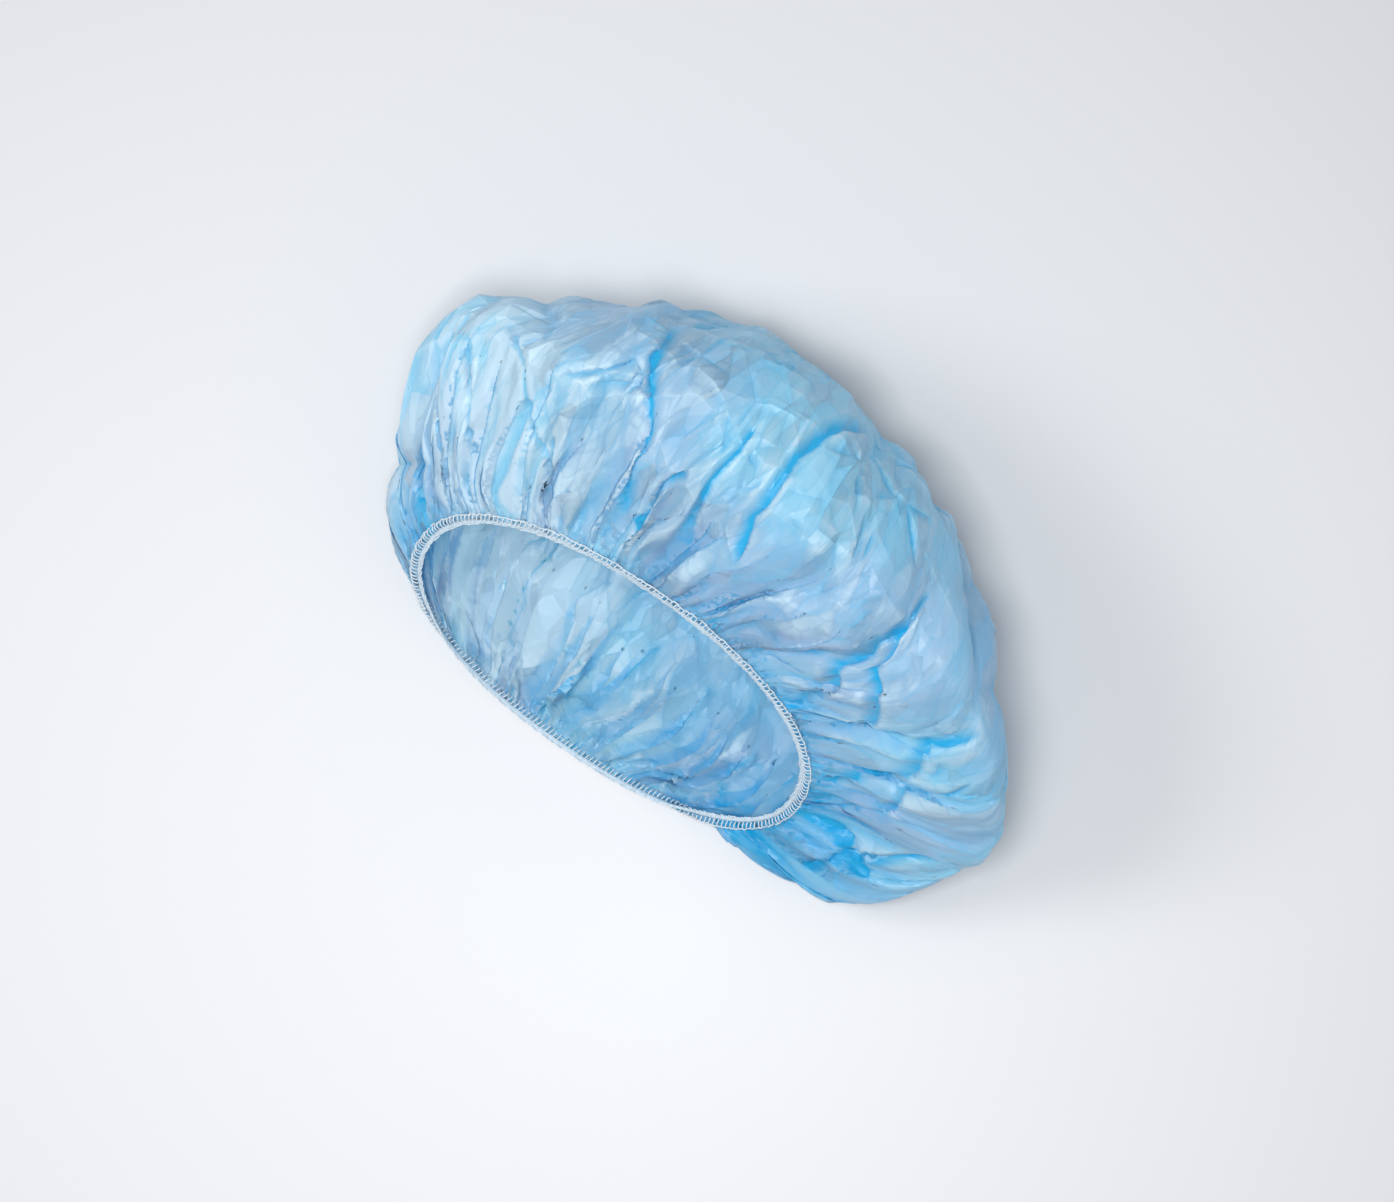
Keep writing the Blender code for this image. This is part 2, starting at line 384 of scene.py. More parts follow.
def refine(points, flat, faces):
    # each triangle becomes four smooth ones; the cut stays flat
    edges, opposite = meshEdges(faces)
    corners = np.array(faces)
    count, edgeCount = len(points), len(edges)
    far = np.zeros((edgeCount, 3))
    np.add.at(far, opposite.ravel(), points[corners].reshape(-1, 3))
    uses = np.bincount(opposite.ravel(), minlength=edgeCount)
    middle = points[edges].mean(1)
    inner = (uses == 2)[:, None]
    middles = np.where(inner, 0.75 * middle + 0.125 * far, middle)
    rim = np.zeros(count, bool)
    rim[edges[uses == 1].ravel()] = True
    smooth = averaged(points, edges, rim, 1)
    eased = np.where(rim[:, None], points, points + (smooth - points) * 0.5)
    allPoints = np.concatenate([eased, middles])
    allFlat = np.concatenate([flat, flat[edges].mean(1)])
    a, b, c = corners.T
    oppositeA, oppositeB, oppositeC = (opposite + count).T
    quarters = [(a, oppositeC, oppositeB), (b, oppositeA, oppositeC), (c, oppositeB, oppositeA)]
    quarters.append((oppositeA, oppositeB, oppositeC))
    return allPoints, allFlat, np.concatenate([np.stack(quarter, 1) for quarter in quarters])


def pointNormals(points, faces):
    a, b, c = (points[faces[:, k]] for k in range(3))
    faceWay = np.cross(b - a, c - a)
    normals = np.zeros_like(points)
    for k in range(3):
        np.add.at(normals, faces[:, k], faceWay)
    return normals / np.maximum(np.linalg.norm(normals, axis=1), 1e-12)[:, None]


def sharesIn(flat, faces, places):
    # which triangle of a flat mesh each place lies in, and its shares of the three corners
    tree = BVHTree.FromPolygons([(*spot, 0) for spot in flat], faces.tolist())
    corners = faces[[tree.find_nearest((*place, 0))[2] for place in places]]
    a, b, c = (flat[corners[:, k]] for k in range(3))
    ab, ac, ap = b - a, c - a, places - a
    area = ab[:, 0] * ac[:, 1] - ab[:, 1] * ac[:, 0]
    shareB = (ap[:, 0] * ac[:, 1] - ap[:, 1] * ac[:, 0]) / area
    shareC = (ab[:, 0] * ap[:, 1] - ab[:, 1] * ap[:, 0]) / area
    shares = np.clip(np.stack([1 - shareB - shareC, shareB, shareC], 1), 0, 1)
    return corners, shares / shares.sum(1)[:, None]


def mixedAt(values, corners, shares):
    return np.einsum("ij...,ij->i...", values[corners], shares)


# Gathers. Knife pleats take up the spare cloth round the hem: along each, the cloth runs
# back under itself for a little. Lengths are in mm of cut cloth.
gathers = {
    "count": 84,
    "shortest": 16,  # how far in from the hem they reach
    "longest": 170,
    "unequal": 1.3,  # above one, most of them are short
    "shorterRight": 0.6,  # the right end is nearly free of them
    "longerBelow": 0.9,  # and they run further along the underside
    "overlap": 0.8,  # how much of the way to the next pleat lies doubled at most
    "least": 1.6,  # narrower folds are left out
    "lift": 0.4,  # between the layers
    "blue": 0.5,
    "rows": 2.5,  # spacing of the rings that they are worked out on
    "columns": 24000,
    "seed": 11,
}


def gatherTables():
    # on rings of the cut: where the cloth runs to, its lift and how doubled it lies,
    # and the two fold lines of each pleat
    rng = np.random.default_rng(gathers["seed"])
    count, radius = gathers["count"], cloth["cutRadius"] / mm
    reach = gathers["shortest"] + (gathers["longest"] - gathers["shortest"]) * rng.uniform(0, 1, count) ** gathers["unequal"]
    first = (np.arange(count) + rng.uniform(-0.3, 0.3, count)) * 2 * pi / count
    reach *= 1 - gathers["shorterRight"] * np.exp(-(angleGap(first, 0) / 50) ** 2)
    below = np.exp(-(angleGap(first, -90) / 65) ** 2)
    reach += gathers["longerBelow"] * (gathers["longest"] - reach) * below
    wander = rng.uniform(-0.5, 0.5, count) * 2 * pi / count * 0.5
    side = np.where(rng.uniform(size=count) < 0.7, 1, -1)
    depths = np.arange(0, gathers["longest"] + 10, gathers["rows"])
    turns = np.linspace(0, 2 * pi, gathers["columns"] + 1)
    ring = np.linspace(0, 2 * pi, 181)
    rows = {name: [] for name in ("run", "lift", "doubled", "starts", "wides")}
    for depth in depths:
        out = radius - depth
        places = plainPoints(ring, np.full_like(ring, atOfRadius(out * mm)))
        real = np.linalg.norm(np.diff(places, axis=0), axis=1).sum() / mm
        tight = min(0.98, real / (2 * pi * out))
        start = first + wander * ease(depth, 0, 120)
        nextStart = np.append(start[1:], start[0] + 2 * pi)
        high = (start + nextStart) / 2  # each pleat has its own cell of the ring
        low = np.append(high[-1] - 2 * pi, high[:-1])
        gap = high - low
        wide = (1 - ease(depth, reach * 0.25, reach)) * np.minimum((1 - tight) / 2, gathers["overlap"] * tight) * gap
        wide = wide * ease(wide * out, gathers["least"], 2.2 * gathers["least"])
        ahead = (gap + wide / tight) / (gap - wide)
        place = (turns - low[0]) % (2 * pi) + low[0]
        k = np.minimum(np.searchsorted(high, place, side="right"), count - 1)
        gone = place - start[k]
        over = wide[k] / tight / ahead[k]  # the top layer beside the fold, in cut cloth
        inFold = (gone > 0) & (gone < wide[k])
        run = np.where(gone > 0, -gone / tight, ahead[k] * gone)
        run = np.where(gone > wide[k], ahead[k] * (gone - wide[k]) - wide[k] / tight, run)
        atStart = low + ahead * (start - low)
        rows["run"].append(run + atStart[k] - place)
        size = ease(wide[k] * out, 0, 2.5)
        before, after = -gone, gone - wide[k]
        riseBefore = np.minimum(over + 3 / out, (start - low)[k])
        riseAfter = np.minimum(over + 3 / out, (high - start - wide)[k])
        hill = np.where(inFold, 1 - 2 * gone / np.maximum(wide[k], 1e-9), 0)
        hill += np.where(before >= 0, np.maximum(1 - before / riseBefore, 0), 0)
        hill -= np.where(after >= 0, np.maximum(1 - after / riseAfter, 0), 0)
        rows["lift"].append(hill * size * side[k])
        top = np.where(side[k] > 0, before, after)
        layer = (top >= 0) & (top < over)
        rows["doubled"].append(size * np.where(layer, 1 - 0.5 * top / np.maximum(over, 1e-9), inFold * 0.8))
        rows["starts"].append(start)
        rows["wides"].append(wide)
    return {"depths": depths, **{name: np.array(values) for name, values in rows.items()}}


def fromTable(table, depths, turns, depthIn):
    # a value between the rings and columns of one table
    row = np.clip(depthIn / gathers["rows"], 0, len(depths) - 1.001)
    column = (turns % (2 * pi)) / (2 * pi) * gathers["columns"]
    low, left = row.astype(int), np.minimum(column.astype(int), gathers["columns"] - 1)
    up, right = row - low, column - left
    nearer = table[low, left] * (1 - right) + table[low, left + 1] * right
    further = table[low + 1, left] * (1 - right) + table[low + 1, left + 1] * right
    return nearer * (1 - up) + further * up


def gatherLines(tables):
    # the fold lines of the pleats on the cut
    segments = []
    for k in range(gathers["count"]):
        for end in (0, 1):
            line = []
            for depth, start, wide in zip(tables["depths"], tables["starts"][:, k], tables["wides"][:, k]):
                out = cloth["cutRadius"] / mm - max(depth, 0.4)
                if wide * out < 0.3:
                    break
                turn = start + end * wide
                line.append(np.array([np.cos(turn), np.sin(turn)]) * out * mm)
            segments += list(zip(line[:-1], line[1:]))
    return segments


# Crumpling. Papery cloth breaks into flat facets between creases: each net of crooked
# triangles over the cut draws the cloth to its facets by a share, and tips their
# corners up and down, in mm.
crumple = {
    "large": {"pitch": 27, "flatten": 0.35, "height": 1.5, "seed": 3},
    "small": {"pitch": 11.5, "flatten": 0.75, "height": 0.8, "seed": 5},
}


def makeNet(pitch, seed):
    # crooked triangles over the whole cut
    rng = np.random.default_rng(seed)
    reach = cloth["cutRadius"]
    steps = np.arange(-reach, reach, pitch * mm)
    x, y = np.meshgrid(steps, steps)
    places = np.stack([x.ravel(), y.ravel()], 1) + rng.uniform(-0.42, 0.42, (x.size, 2)) * pitch * mm
    turns = np.arange(0, 2 * pi, pitch * mm / reach)
    rim = np.stack([np.cos(turns), np.sin(turns)], 1) * reach
    places = np.concatenate([places[np.hypot(*places.T) < reach - 0.5 * pitch * mm], rim])
    corners, triangles = discMesh(places)
    return corners, np.array(triangles)


def creasedMesh(segments):
    # fine triangles over the cut whose edges follow every crease
    step, radius = cloth["fineSpacing"], cloth["cutRadius"]
    points, pairs = [], []
    for start, end in segments:
        count = max(1, round(np.linalg.norm(end - start) / step))
        first = len(points)
        points += [start + (end - start) * k / count for k in range(count + 1)]
        pairs += [(first + k, first + k + 1) for k in range(count)]
    lookup = KDTree(len(points))
    for index, point in enumerate(points):
        lookup.insert((*point, 0), index)
    lookup.balance()
    even = evenPoints(step, radius)
    even = [point for point in even if lookup.find((*point, 0))[2] > 0.55 * step]
    found = geometry.delaunay_2d_cdt([Vector(point) for point in points + even], pairs, [], 0, 1e-6)
    creased = [edge for edge, source in zip(found[1], found[4]) if source]
    return np.array(found[0]), np.array(found[2]), np.sort(np.array(creased), axis=1)


# Sharp creases: short straight lines, many of them in stars, mostly across the free cloth.
# Lengths, widths and heights are in mm.
creases = {
    "stars": 46,
    "raysEach": (3, 6),
    "single": 170,
    "shortest": 6,
    "longest": 30,
    "narrow": 1.6,  # steep side
    "wide": 6,  # gentle side
    "high": 1.1,
    "folded": 0.4,  # share that lie as little pleats, with doubled cloth beside them
    "foldedBlue": (0.15, 0.55),
    "alongGathers": 0.6,  # share of the single ones that run from the hem to the crown
    "seed": 17,
}


def creaseStrokes():
    # the straight creases: centre, way, length in mm and which side is steep
    rng = np.random.default_rng(creases["seed"])
    reach = cloth["cutRadius"]
    strokes = []
    for _ in range(creases["stars"]):
        centre = rng.uniform(-0.62, 0.62, 2) * reach
        first = rng.uniform(0, 2 * pi)
        rays = rng.integers(*creases["raysEach"])
        for ray in range(rays):
            way = first + (ray + rng.uniform(-0.3, 0.3)) * 2 * pi / rays
            strokes.append((centre, way, rng.uniform(creases["shortest"], creases["longest"])))
    for _ in range(creases["single"]):
        spot, out = rng.uniform(0, 2 * pi), reach * np.sqrt(rng.uniform(0.02, 0.80))
        centre = np.array([np.cos(spot), np.sin(spot)]) * out
        radial = rng.uniform() < creases["alongGathers"]
        way = spot + rng.normal(0, 0.25) if radial else rng.uniform(0, 2 * pi)
        strokes.append((centre, way, rng.uniform(creases["shortest"], creases["longest"])))
    full = []
    for centre, way, length in strokes:
        along = np.array([np.cos(way), np.sin(way)])
        if np.hypot(*(centre + along * length * mm)) < 0.96 * reach:
            full.append((centre, along, length, rng.choice([-1, 1])))
    return full


def creaseShape(flat, strokes):
    rng = np.random.default_rng(creases["seed"])
    height, doubled = np.zeros(len(flat)), np.zeros(len(flat))
    for centre, along, length, steep in strokes:
        gap = flat - centre
        near = np.abs(gap).max(1) < (length + 8) * mm
        far = gap[near] @ along / (length * mm)
        side = (gap[near, 0] * along[1] - gap[near, 1] * along[0]) / mm * steep
        ends = ease(far, -0.15, 0.25) * (1 - ease(far, 0.6, 1.0))
        gentle = 1 - np.clip(side / creases["wide"], 0, 1)
        slope = np.where(side > 0, gentle ** 1.5, 1 - np.clip(-side / creases["narrow"], 0, 1))
        height[near] += creases["high"] * mm * rng.uniform(0.35, 1) * rng.choice([-1, 1]) * ends * slope
        blue = rng.uniform(*creases["foldedBlue"]) * (rng.uniform() < creases["folded"])
        wide = rng.uniform(2.0, 6.0)
        layer = (side > -0.1) * (1 - ease(side, 0.3, wide)) * ease(far, -0.1, 0.2) * (1 - ease(far, 0.6, 1.0))
        doubled[near] = np.maximum(doubled[near], blue * layer)
    return height, doubled


# Knife pleats seen in the picture, as pixels along each crest. In mm: how wide the
# doubled cloth lies beside the crest (which side by its sign) and how high it stands;
# then how deep its blue is.
pleats = {
    "longCentre": {"pixels": ((872, 437), (835, 428), (795, 462), (754, 518), (728, 573)), "wide": 6, "high": 2.4, "blue": 0.75},
    "shortCentre": {"pixels": ((757, 421), (718, 480), (676, 541)), "wide": 5, "high": 2.0, "blue": 0.65},
    "topNotch": {"pixels": ((676, 318), (653, 360), (640, 440), (616, 520)), "wide": -7, "high": 2.2, "blue": 0.8},
    "brightCrest": {"pixels": ((690, 472), (659, 489), (638, 520), (624, 552)), "wide": -5, "high": 2.6, "blue": 0.95},
    "upperRight": {"pixels": ((919, 610), (880, 647), (841, 665), (785, 705)), "wide": 6, "high": 1.8, "blue": 0.55},
    "middleRight": {"pixels": ((935, 592), (898, 637), (875, 672), (815, 733)), "wide": 5, "high": 2.0, "blue": 0.6},
    "lowRight": {"pixels": ((983, 733), (930, 745), (862, 775), (812, 785)), "wide": 7, "high": 1.8, "blue": 0.6},
    "lowLine": {"pixels": ((975, 782), (905, 786), (806, 808)), "wide": 3, "high": 1.6, "blue": 0.35},
    "knotUp": {"pixels": ((800, 812), (850, 835), (866, 884)), "wide": 7, "high": 2.2, "blue": 0.85},
    "knotRight": {"pixels": ((838, 848), (893, 858), (960, 866)), "wide": 5, "high": 1.8, "blue": 0.6},
    "knotLeft": {"pixels": ((845, 850), (800, 866), (752, 868)), "wide": -4, "high": 1.6, "blue": 0.5},
    "leftTall": {"pixels": ((520, 330), (530, 400), (548, 480)), "wide": 3, "high": 1.4, "blue": 0.3},
    "leftDark": {"pixels": ((552, 437), (550, 470), (546, 505)), "wide": 4, "high": 1.6, "blue": 0.6},
    "leftRidge": {"pixels": ((470, 335), (470, 400), (476, 470)), "wide": 3, "high": 1.8, "blue": 0.1},
    "farLeft": {"pixels": ((440, 360), (432, 430), (450, 500)), "wide": -5, "high": 1.6, "blue": 0.4},
    "starAcross": {"pixels": ((560, 376), (600, 368), (640, 360)), "wide": 3, "high": 1.2, "blue": 0.35},
    "leftNotch": {"pixels": ((406, 466), (414, 492), (424, 520)), "wide": -9, "high": 2.6, "blue": 0.6},
    "inLeft": {"pixels": ((587, 653), (560, 690), (530, 715)), "wide": 6, "high": 2.4, "blue": 0.9},
    "inMiddle": {"pixels": ((663, 644), (610, 700), (572, 750)), "wide": 4, "high": 1.8, "blue": 0.6},
    "inRight": {"pixels": ((710, 685), (665, 740), (628, 785)), "wide": 4, "high": 1.6, "blue": 0.5},
    "inLow": {"pixels": ((722, 732), (690, 762), (652, 791)), "wide": 3, "high": 1.4, "blue": 0.5},
    "inLast": {"pixels": ((760, 750), (725, 775), (684, 804)), "wide": 3, "high": 1.4, "blue": 0.5},
}


# Notches of the outline: pixels where it is drawn in, with how far and how wide in mm
notches = {
    "left": (400, 463, 4.5, 6),
    "topLeft": (548, 303, 3.5, 6),
    "top": (683, 310, 2.5, 5),
    "upperRight": (883, 437, 2.5, 5),
    "right": (947, 490, 2.5, 5),
    "rightUp": (979, 580, 2.5, 5),
    "rightMiddle": (1002, 690, 3.0, 6),
    "rightLow": (1015, 805, 3.0, 5),
    "low": (968, 893, 2.5, 5),
    "foot": (708, 842, 2.5, 5),
}


def notched(points):
    # the sides of the cap drawn in at each notch, at all heights
    shift = np.zeros((len(points), 2))
    for x, y, deep, wide in notches.values():
        place = np.array(placeOfPixel(x, y))
        inwards = -place / np.array([cadBox[1][0] ** 2, cadBox[1][1] ** 2])
        inwards /= np.linalg.norm(inwards)
        gap = (points[:, :2] - place) / mm
        sideways = np.abs(gap[:, 0] * inwards[1] - gap[:, 1] * inwards[0]) / wide
        inside = gap @ inwards
        share = np.exp(-sideways ** 1.3) * (1 - ease(inside, 0, 16)) * ease(inside, -30, -20)
        shift += inwards * (deep * mm * share)[:, None]
    moved = points.copy()
    moved[:, :2] += shift
    return moved


def flatPlaceBelow(tree, points, flat, faces, x, y):
    # the place on the cut that a pixel of the picture shows
    eye = Vector(camera["place"])
    way = Vector((*placeOfPixel(x, y), camera["aimHeight"])) - eye
    hit, _, index, _ = tree.ray_cast(eye, way.normalized())
    if hit is None:
        return None
    corners = faces[index]
    weights = [1 / (0.05 * mm + (Vector(points[corner]) - hit).length) for corner in corners]
    return np.average(flat[corners], axis=0, weights=weights)


def distanceToLine(flat, line):
    # distance and side of each place from a bent line, and its share along it
    best = np.full(len(flat), 1e9)
    side, share = np.zeros(len(flat)), np.zeros(len(flat))
    for number, (start, end) in enumerate(zip(line[:-1], line[1:])):
        way = end - start
        reach = np.clip((flat - start) @ way / (way @ way), 0, 1)
        gap = flat - start - reach[:, None] * way
        length = np.hypot(gap[:, 0], gap[:, 1])
        near = length < best
        best[near] = length[near]
        side[near] = np.sign(way[0] * gap[near, 1] - way[1] * gap[near, 0])
        share[near] = (number + reach[near]) / (len(line) - 1)
    return best * side, share


def pleatLines(points, flat, faces):
    # the crest of each pleat on the cut
    tree = BVHTree.FromPolygons(points.tolist(), faces.tolist())
    lines = {}
    for name, pleat in pleats.items():
        line = [flatPlaceBelow(tree, points, flat, faces, x, y) for x, y in pleat["pixels"]]
        line = [place for place in line if place is not None]
        if len(line) > 1:
            lines[name] = line
    return lines


def pleatShape(flat, lines):
    # height of the knife pleats, and how much of the cloth there lies doubled
    height, doubled = np.zeros(len(flat)), np.zeros(len(flat))
    for name, line in lines.items():
        pleat = pleats[name]
        away, share = distanceToLine(flat, line)
        across = away / abs(pleat["wide"] * mm) * np.sign(pleat["wide"])
        ends = ease(share, 0.0, 0.12) * (1 - ease(share, 0.88, 1.0))
        slope = np.where(across > 0, 1 - ease(across, 0, 1.3), 1 - np.clip(-across / 0.35, 0, 1))
        height += pleat["high"] * mm * ends * slope
        doubled = np.maximum(doubled, pleat["blue"] * ends * (across > -0.02) * (1 - ease(across, 0.15, 1.1)))
    return height, doubled


# Fine puckers where the elastic draws the cloth in: narrow folds that go inwards.
# Reaches are in mm of cut cloth.
puckers = {
    "count": 176,
    "atEdge": 1.5 * mm,  # the edge itself zigzags too, so that it keeps its length
    "deep": 2.2 * mm,  # a little further in
    "reach": 16,
    "blueReach": 30,
    "seed": 21,
}


def puckerShape(turns, depthIn):
    rng = np.random.default_rng(puckers["seed"])
    uneven = sum(rng.uniform(0.1, 0.3) * np.sin(turns * k + rng.uniform(0, 6)) for k in (3, 7, 13, 23, 31))
    bend = sum(rng.uniform(0.3, 0.7) * np.sin(turns * k + rng.uniform(0, 6)) for k in (4, 9, 17, 29))
    unlike = 0.75 + 0.25 * np.sin(turns * 61 + 2 * np.sin(turns * 8))
    reach = puckers["reach"] * (1 + uneven) * (0.6 + 0.4 * unlike)
    fold = 1 - np.abs(np.sin(turns * puckers["count"] / 2 + bend))
    deep = puckers["atEdge"] + (puckers["deep"] * unlike - puckers["atEdge"]) * ease(depthIn, 0.5, 6)
    fading = 1 - ease(depthIn, reach * 0.2, reach)
    height = 0.3 * puckers["atEdge"] - fold * deep * fading
    height = np.where(depthIn > reach, 0, height * fading)
    # bluer where the cloth lies gathered near the hem, with painted shade in the valleys of the puckers
    blueReach = puckers["blueReach"] * (1 + 1.6 * uneven)
    broad = 0.22 * (1 - ease(depthIn, blueReach * 0.1, blueReach))
    puckerValleyShade = 0.9 * fading * ease(fold, 0.25, 0.85)
    return height, np.clip(np.maximum(broad, puckerValleyShade), 0, 1)


# Painted light and shade in broad patches: pixel of the middle, how far it reaches in mm and how much bluer it is, as
# painted shade; below zero it is paler, as painted light
paintedLightPatches = {
    "left": (440, 400, 70, -0.16),
    "topLeft": (515, 400, 34, -0.20),
    "insideLeft": (500, 590, 36, -0.75),
    "inside": (640, 700, 50, -0.05),
    "leftLobe": (404, 535, 15, 0.55),
    "lowPuff": (795, 868, 28, 0.45),
    "foot": (720, 850, 12, 0.20),
}


def paintedLightPatchTone(points):
    # painted shade and painted light of the patches, summed at each point
    paintedLightTone = np.zeros(len(points))
    for x, y, reach, paintedShadeAmount in paintedLightPatches.values():
        gap = np.hypot(*(points[:, :2] - placeOfPixel(x, y)).T) / (reach * mm)
        paintedLightTone += paintedShadeAmount * np.exp(-gap ** 2)
    return paintedLightTone


def aboveFloor(height):
    # what would sink into the table is pressed together just above it
    reach = 4 * mm
    return np.where(height < reach, reach * np.exp(np.minimum(height / reach - 1, 0)), height)


# How deep a valley has to be for the full painted shade, against the cloth around it; ridges are painted paler
shades = {
    "passes": 10,
    "fullDepth": 1.1 * mm,
}


def finishCloth(points, flat, faces):
    # creases, pleats and puckers on the relaxed cloth, with mesh edges along the creases
    points, flat, faces = refine(points, flat, faces)
    lines = pleatLines(points, flat, faces)
    strokes = creaseStrokes()
    nets = [makeNet(net["pitch"], net["seed"]) for net in crumple.values()]
    tables = gatherTables()
    segments = gatherLines(tables)
    segments += [(start, end) for line in lines.values() for start, end in zip(line[:-1], line[1:])]
    segments += [(centre, centre + along * length * mm) for centre, along, length, _ in strokes]
    for places, triangles in nets:
        segments += [(places[a], places[b]) for a, b in meshEdges(triangles)[0]]
    newFlat, newFaces, creased = creasedMesh(segments)
    out = np.hypot(newFlat[:, 0], newFlat[:, 1])
    turns = np.arctan2(newFlat[:, 1], newFlat[:, 0]) % (2 * pi)
    depthIn = (cloth["cutRadius"] - out) / mm
    beside = {name: fromTable(tables[name], tables["depths"], turns, depthIn) for name in ("run", "lift", "doubled")}
    pleated = 1 - ease(depthIn, gathers["longest"] - 10, gathers["longest"] + 5)
    runTo = turns + beside["run"] * pleated
    edges, _ = meshEdges(newFaces)
    rim = depthIn < 0.1
    base = averaged(mixedAt(points, *sharesIn(flat, faces, newFlat)), edges, rim, 1)
    normals = pointNormals(base, newFaces)
    free = ease(depthIn, 4, 40)
    papery = free * (1 - 0.65 * ease(base[:, 0], -15 * mm, 70 * mm))  # the left is more crumpled
    for (places, triangles), net in zip(nets, crumple.values()):
        rng = np.random.default_rng(net["seed"])
        onCloth = mixedAt(base, *sharesIn(newFlat, newFaces, places))
        tips = rng.uniform(-1, 1, len(places)) * net["height"] * mm
        corners, shares = sharesIn(places, triangles, newFlat)
        base += (mixedAt(onCloth, corners, shares) - base) * (net["flatten"] * papery)[:, None]
        base += normals * (mixedAt(tips, corners, shares) * papery)[:, None]
    pleatHeight, doubled = pleatShape(newFlat, lines)
    creaseHeight, folded = creaseShape(newFlat, strokes)
    base += normals * (pleatHeight * ease(depthIn, 1, 10) + creaseHeight * free)[:, None]
    moved = np.stack([np.cos(runTo) * out, np.sin(runTo) * out], 1)
    corners, shares = sharesIn(newFlat, newFaces, moved)
    shifted = np.linalg.norm(moved - newFlat, axis=1)
    newPoints = np.where(shifted[:, None] < 0.05 * mm, base, mixedAt(base, corners, shares))
    normals = mixedAt(normals, corners, shares)
    puckerHeight, gatheredAndPuckerShade = puckerShape(runTo, depthIn)
    lift = beside["lift"] * gathers["lift"] * mm * pleated * ease(depthIn, -3, 6)
    newPoints += normals * (lift + puckerHeight)[:, None]
    newPoints = notched(newPoints)
    doubled = np.maximum(doubled, folded * free)
    doubled = np.maximum(doubled, beside["doubled"] * pleated * gathers["blue"])
    newPoints[:, 2] = aboveFloor(newPoints[:, 2])
    # how far each point stands above or below the cloth around it, for painted shade in valleys and paler ridges
    level = averaged(newPoints, edges, depthIn < 0.1, shades["passes"])
    ridge = np.sum((newPoints - level) * pointNormals(newPoints, newFaces), axis=1) / shades["fullDepth"]
    painted = {
        "doubled": doubled,
        "gatheredAndPuckerShade": gatheredAndPuckerShade,
        "ridge": np.clip(ridge, -1, 1),
        # painted light and shade of the broad patches
        "paintedLightTone": paintedLightPatchTone(newPoints),
    }
    return newPoints, newFlat, newFaces, painted, creased[(depthIn[creased] > 0.5).all(1)]


def markSharp(mesh, creased):
    # the mesh's edges that lie on a crease are shaded as sharp
    pairs = np.empty(len(mesh.edges) * 2, np.int32)
    mesh.edges.foreach_get("vertices", pairs)
    pairs = np.sort(pairs.reshape(-1, 2).astype(np.int64), axis=1)
    many = len(mesh.vertices)
    sharp = np.isin(pairs[:, 0] * many + pairs[:, 1], creased[:, 0] * many + creased[:, 1])
    layer = mesh.attributes.new("sharp_edge", "BOOLEAN", "EDGE")
    layer.data.foreach_set("value", sharp)


def addNumbers(mesh, name, values):
    layer = mesh.attributes.new(name, "FLOAT", "POINT")
    layer.data.foreach_set("value", values.astype(np.float32))


def buildCap():
    piece, flat, depthIn = makeCloth()
    start = np.array([point.co for point in piece.data.vertices])
    faces = [tuple(face.vertices) for face in piece.data.polygons]
    print("cloth cut and laid on the form:", len(flat), "points")
    points = start
    moved = simulateCloth(piece, flat, depthIn)
    edges, _ = meshEdges(faces)
    broad = averaged(moved - start, edges, depthIn < 0.1, relax["driftPasses"])
    points = moved - broad * relax["driftTakenOut"]
    level = averaged(points, edges, depthIn < 0.1, relax["levelPasses"])
    seen = relax["foldsSeen"] * (1 - relax["smootherRight"] * ease(points[:, 0], 0, 90 * mm))
    kept = seen + (relax["foldsHidden"] - seen) * hiddenShare(level, edges, faces)
    kept *= ease(depthIn, *relax["foldsFrom"])
    points = level + (points - level) * kept[:, None]
    print("cloth relaxed to its cut size")
    bpy.data.objects.remove(piece)
    points, flat, faces, painted, creased = finishCloth(points, flat, np.array(faces))
    mesh = bpy.data.meshes.new("capCloth")
    mesh.from_pydata(points.tolist(), [], faces.tolist())
    layer = mesh.uv_layers.new(name="cut")
    corners = np.empty(len(mesh.loops), np.int32)
    mesh.loops.foreach_get("vertex_index", corners)
    layer.data.foreach_set("uv", (flat[corners] / (2 * cloth["cutRadius"]) + 0.5).ravel())
    for name, values in painted.items():
        addNumbers(mesh, name, values)
    mesh.shade_smooth()
    markSharp(mesh, creased)
    mesh.materials.append(clothMaterial())
    cap = bpy.data.objects.new("capCloth", mesh)
    scene.collection.objects.link(cap)
    print("crumples, pleats and puckers added:", len(faces), "triangles")
    return cap


# The hem: a narrow elastic with thread loops drawn over it and the cloth's edge
hem = {
    "stations": 620,
    "elasticWidth": 1.7 * mm,
    "elasticThick": 1.0 * mm,
    "elasticShift": -0.75 * mm,  # towards the mouth
    "sectionSides": 12,
    "stitches": 242,
    "threadRadius": 0.25 * mm,
    "seed": 4,
}


def hemFrames():
    # places along the hem's line, with the ways along it, into the cloth and outwards
    turns = np.arange(hem["stations"]) * 2 * pi / hem["stations"]
    angle = hemAngles(turns)
    onHem = np.zeros_like(angle)
    centre = plainPoints(angle, onHem)
    along = np.roll(centre, -1, axis=0) - np.roll(centre, 1, axis=0)
    along /= np.linalg.norm(along, axis=1)[:, None]
    intoCloth = formPoints(angle, onHem + 0.05) - centre
    intoCloth -= along * np.sum(intoCloth * along, axis=1)[:, None]
    intoCloth /= np.linalg.norm(intoCloth, axis=1)[:, None]
    outwards = np.cross(along, intoCloth)
    outwards *= np.sign(np.sum(outwards * normalsOut(angle, onHem + 0.03), axis=1))[:, None]
    return turns, centre, along, intoCloth, outwards


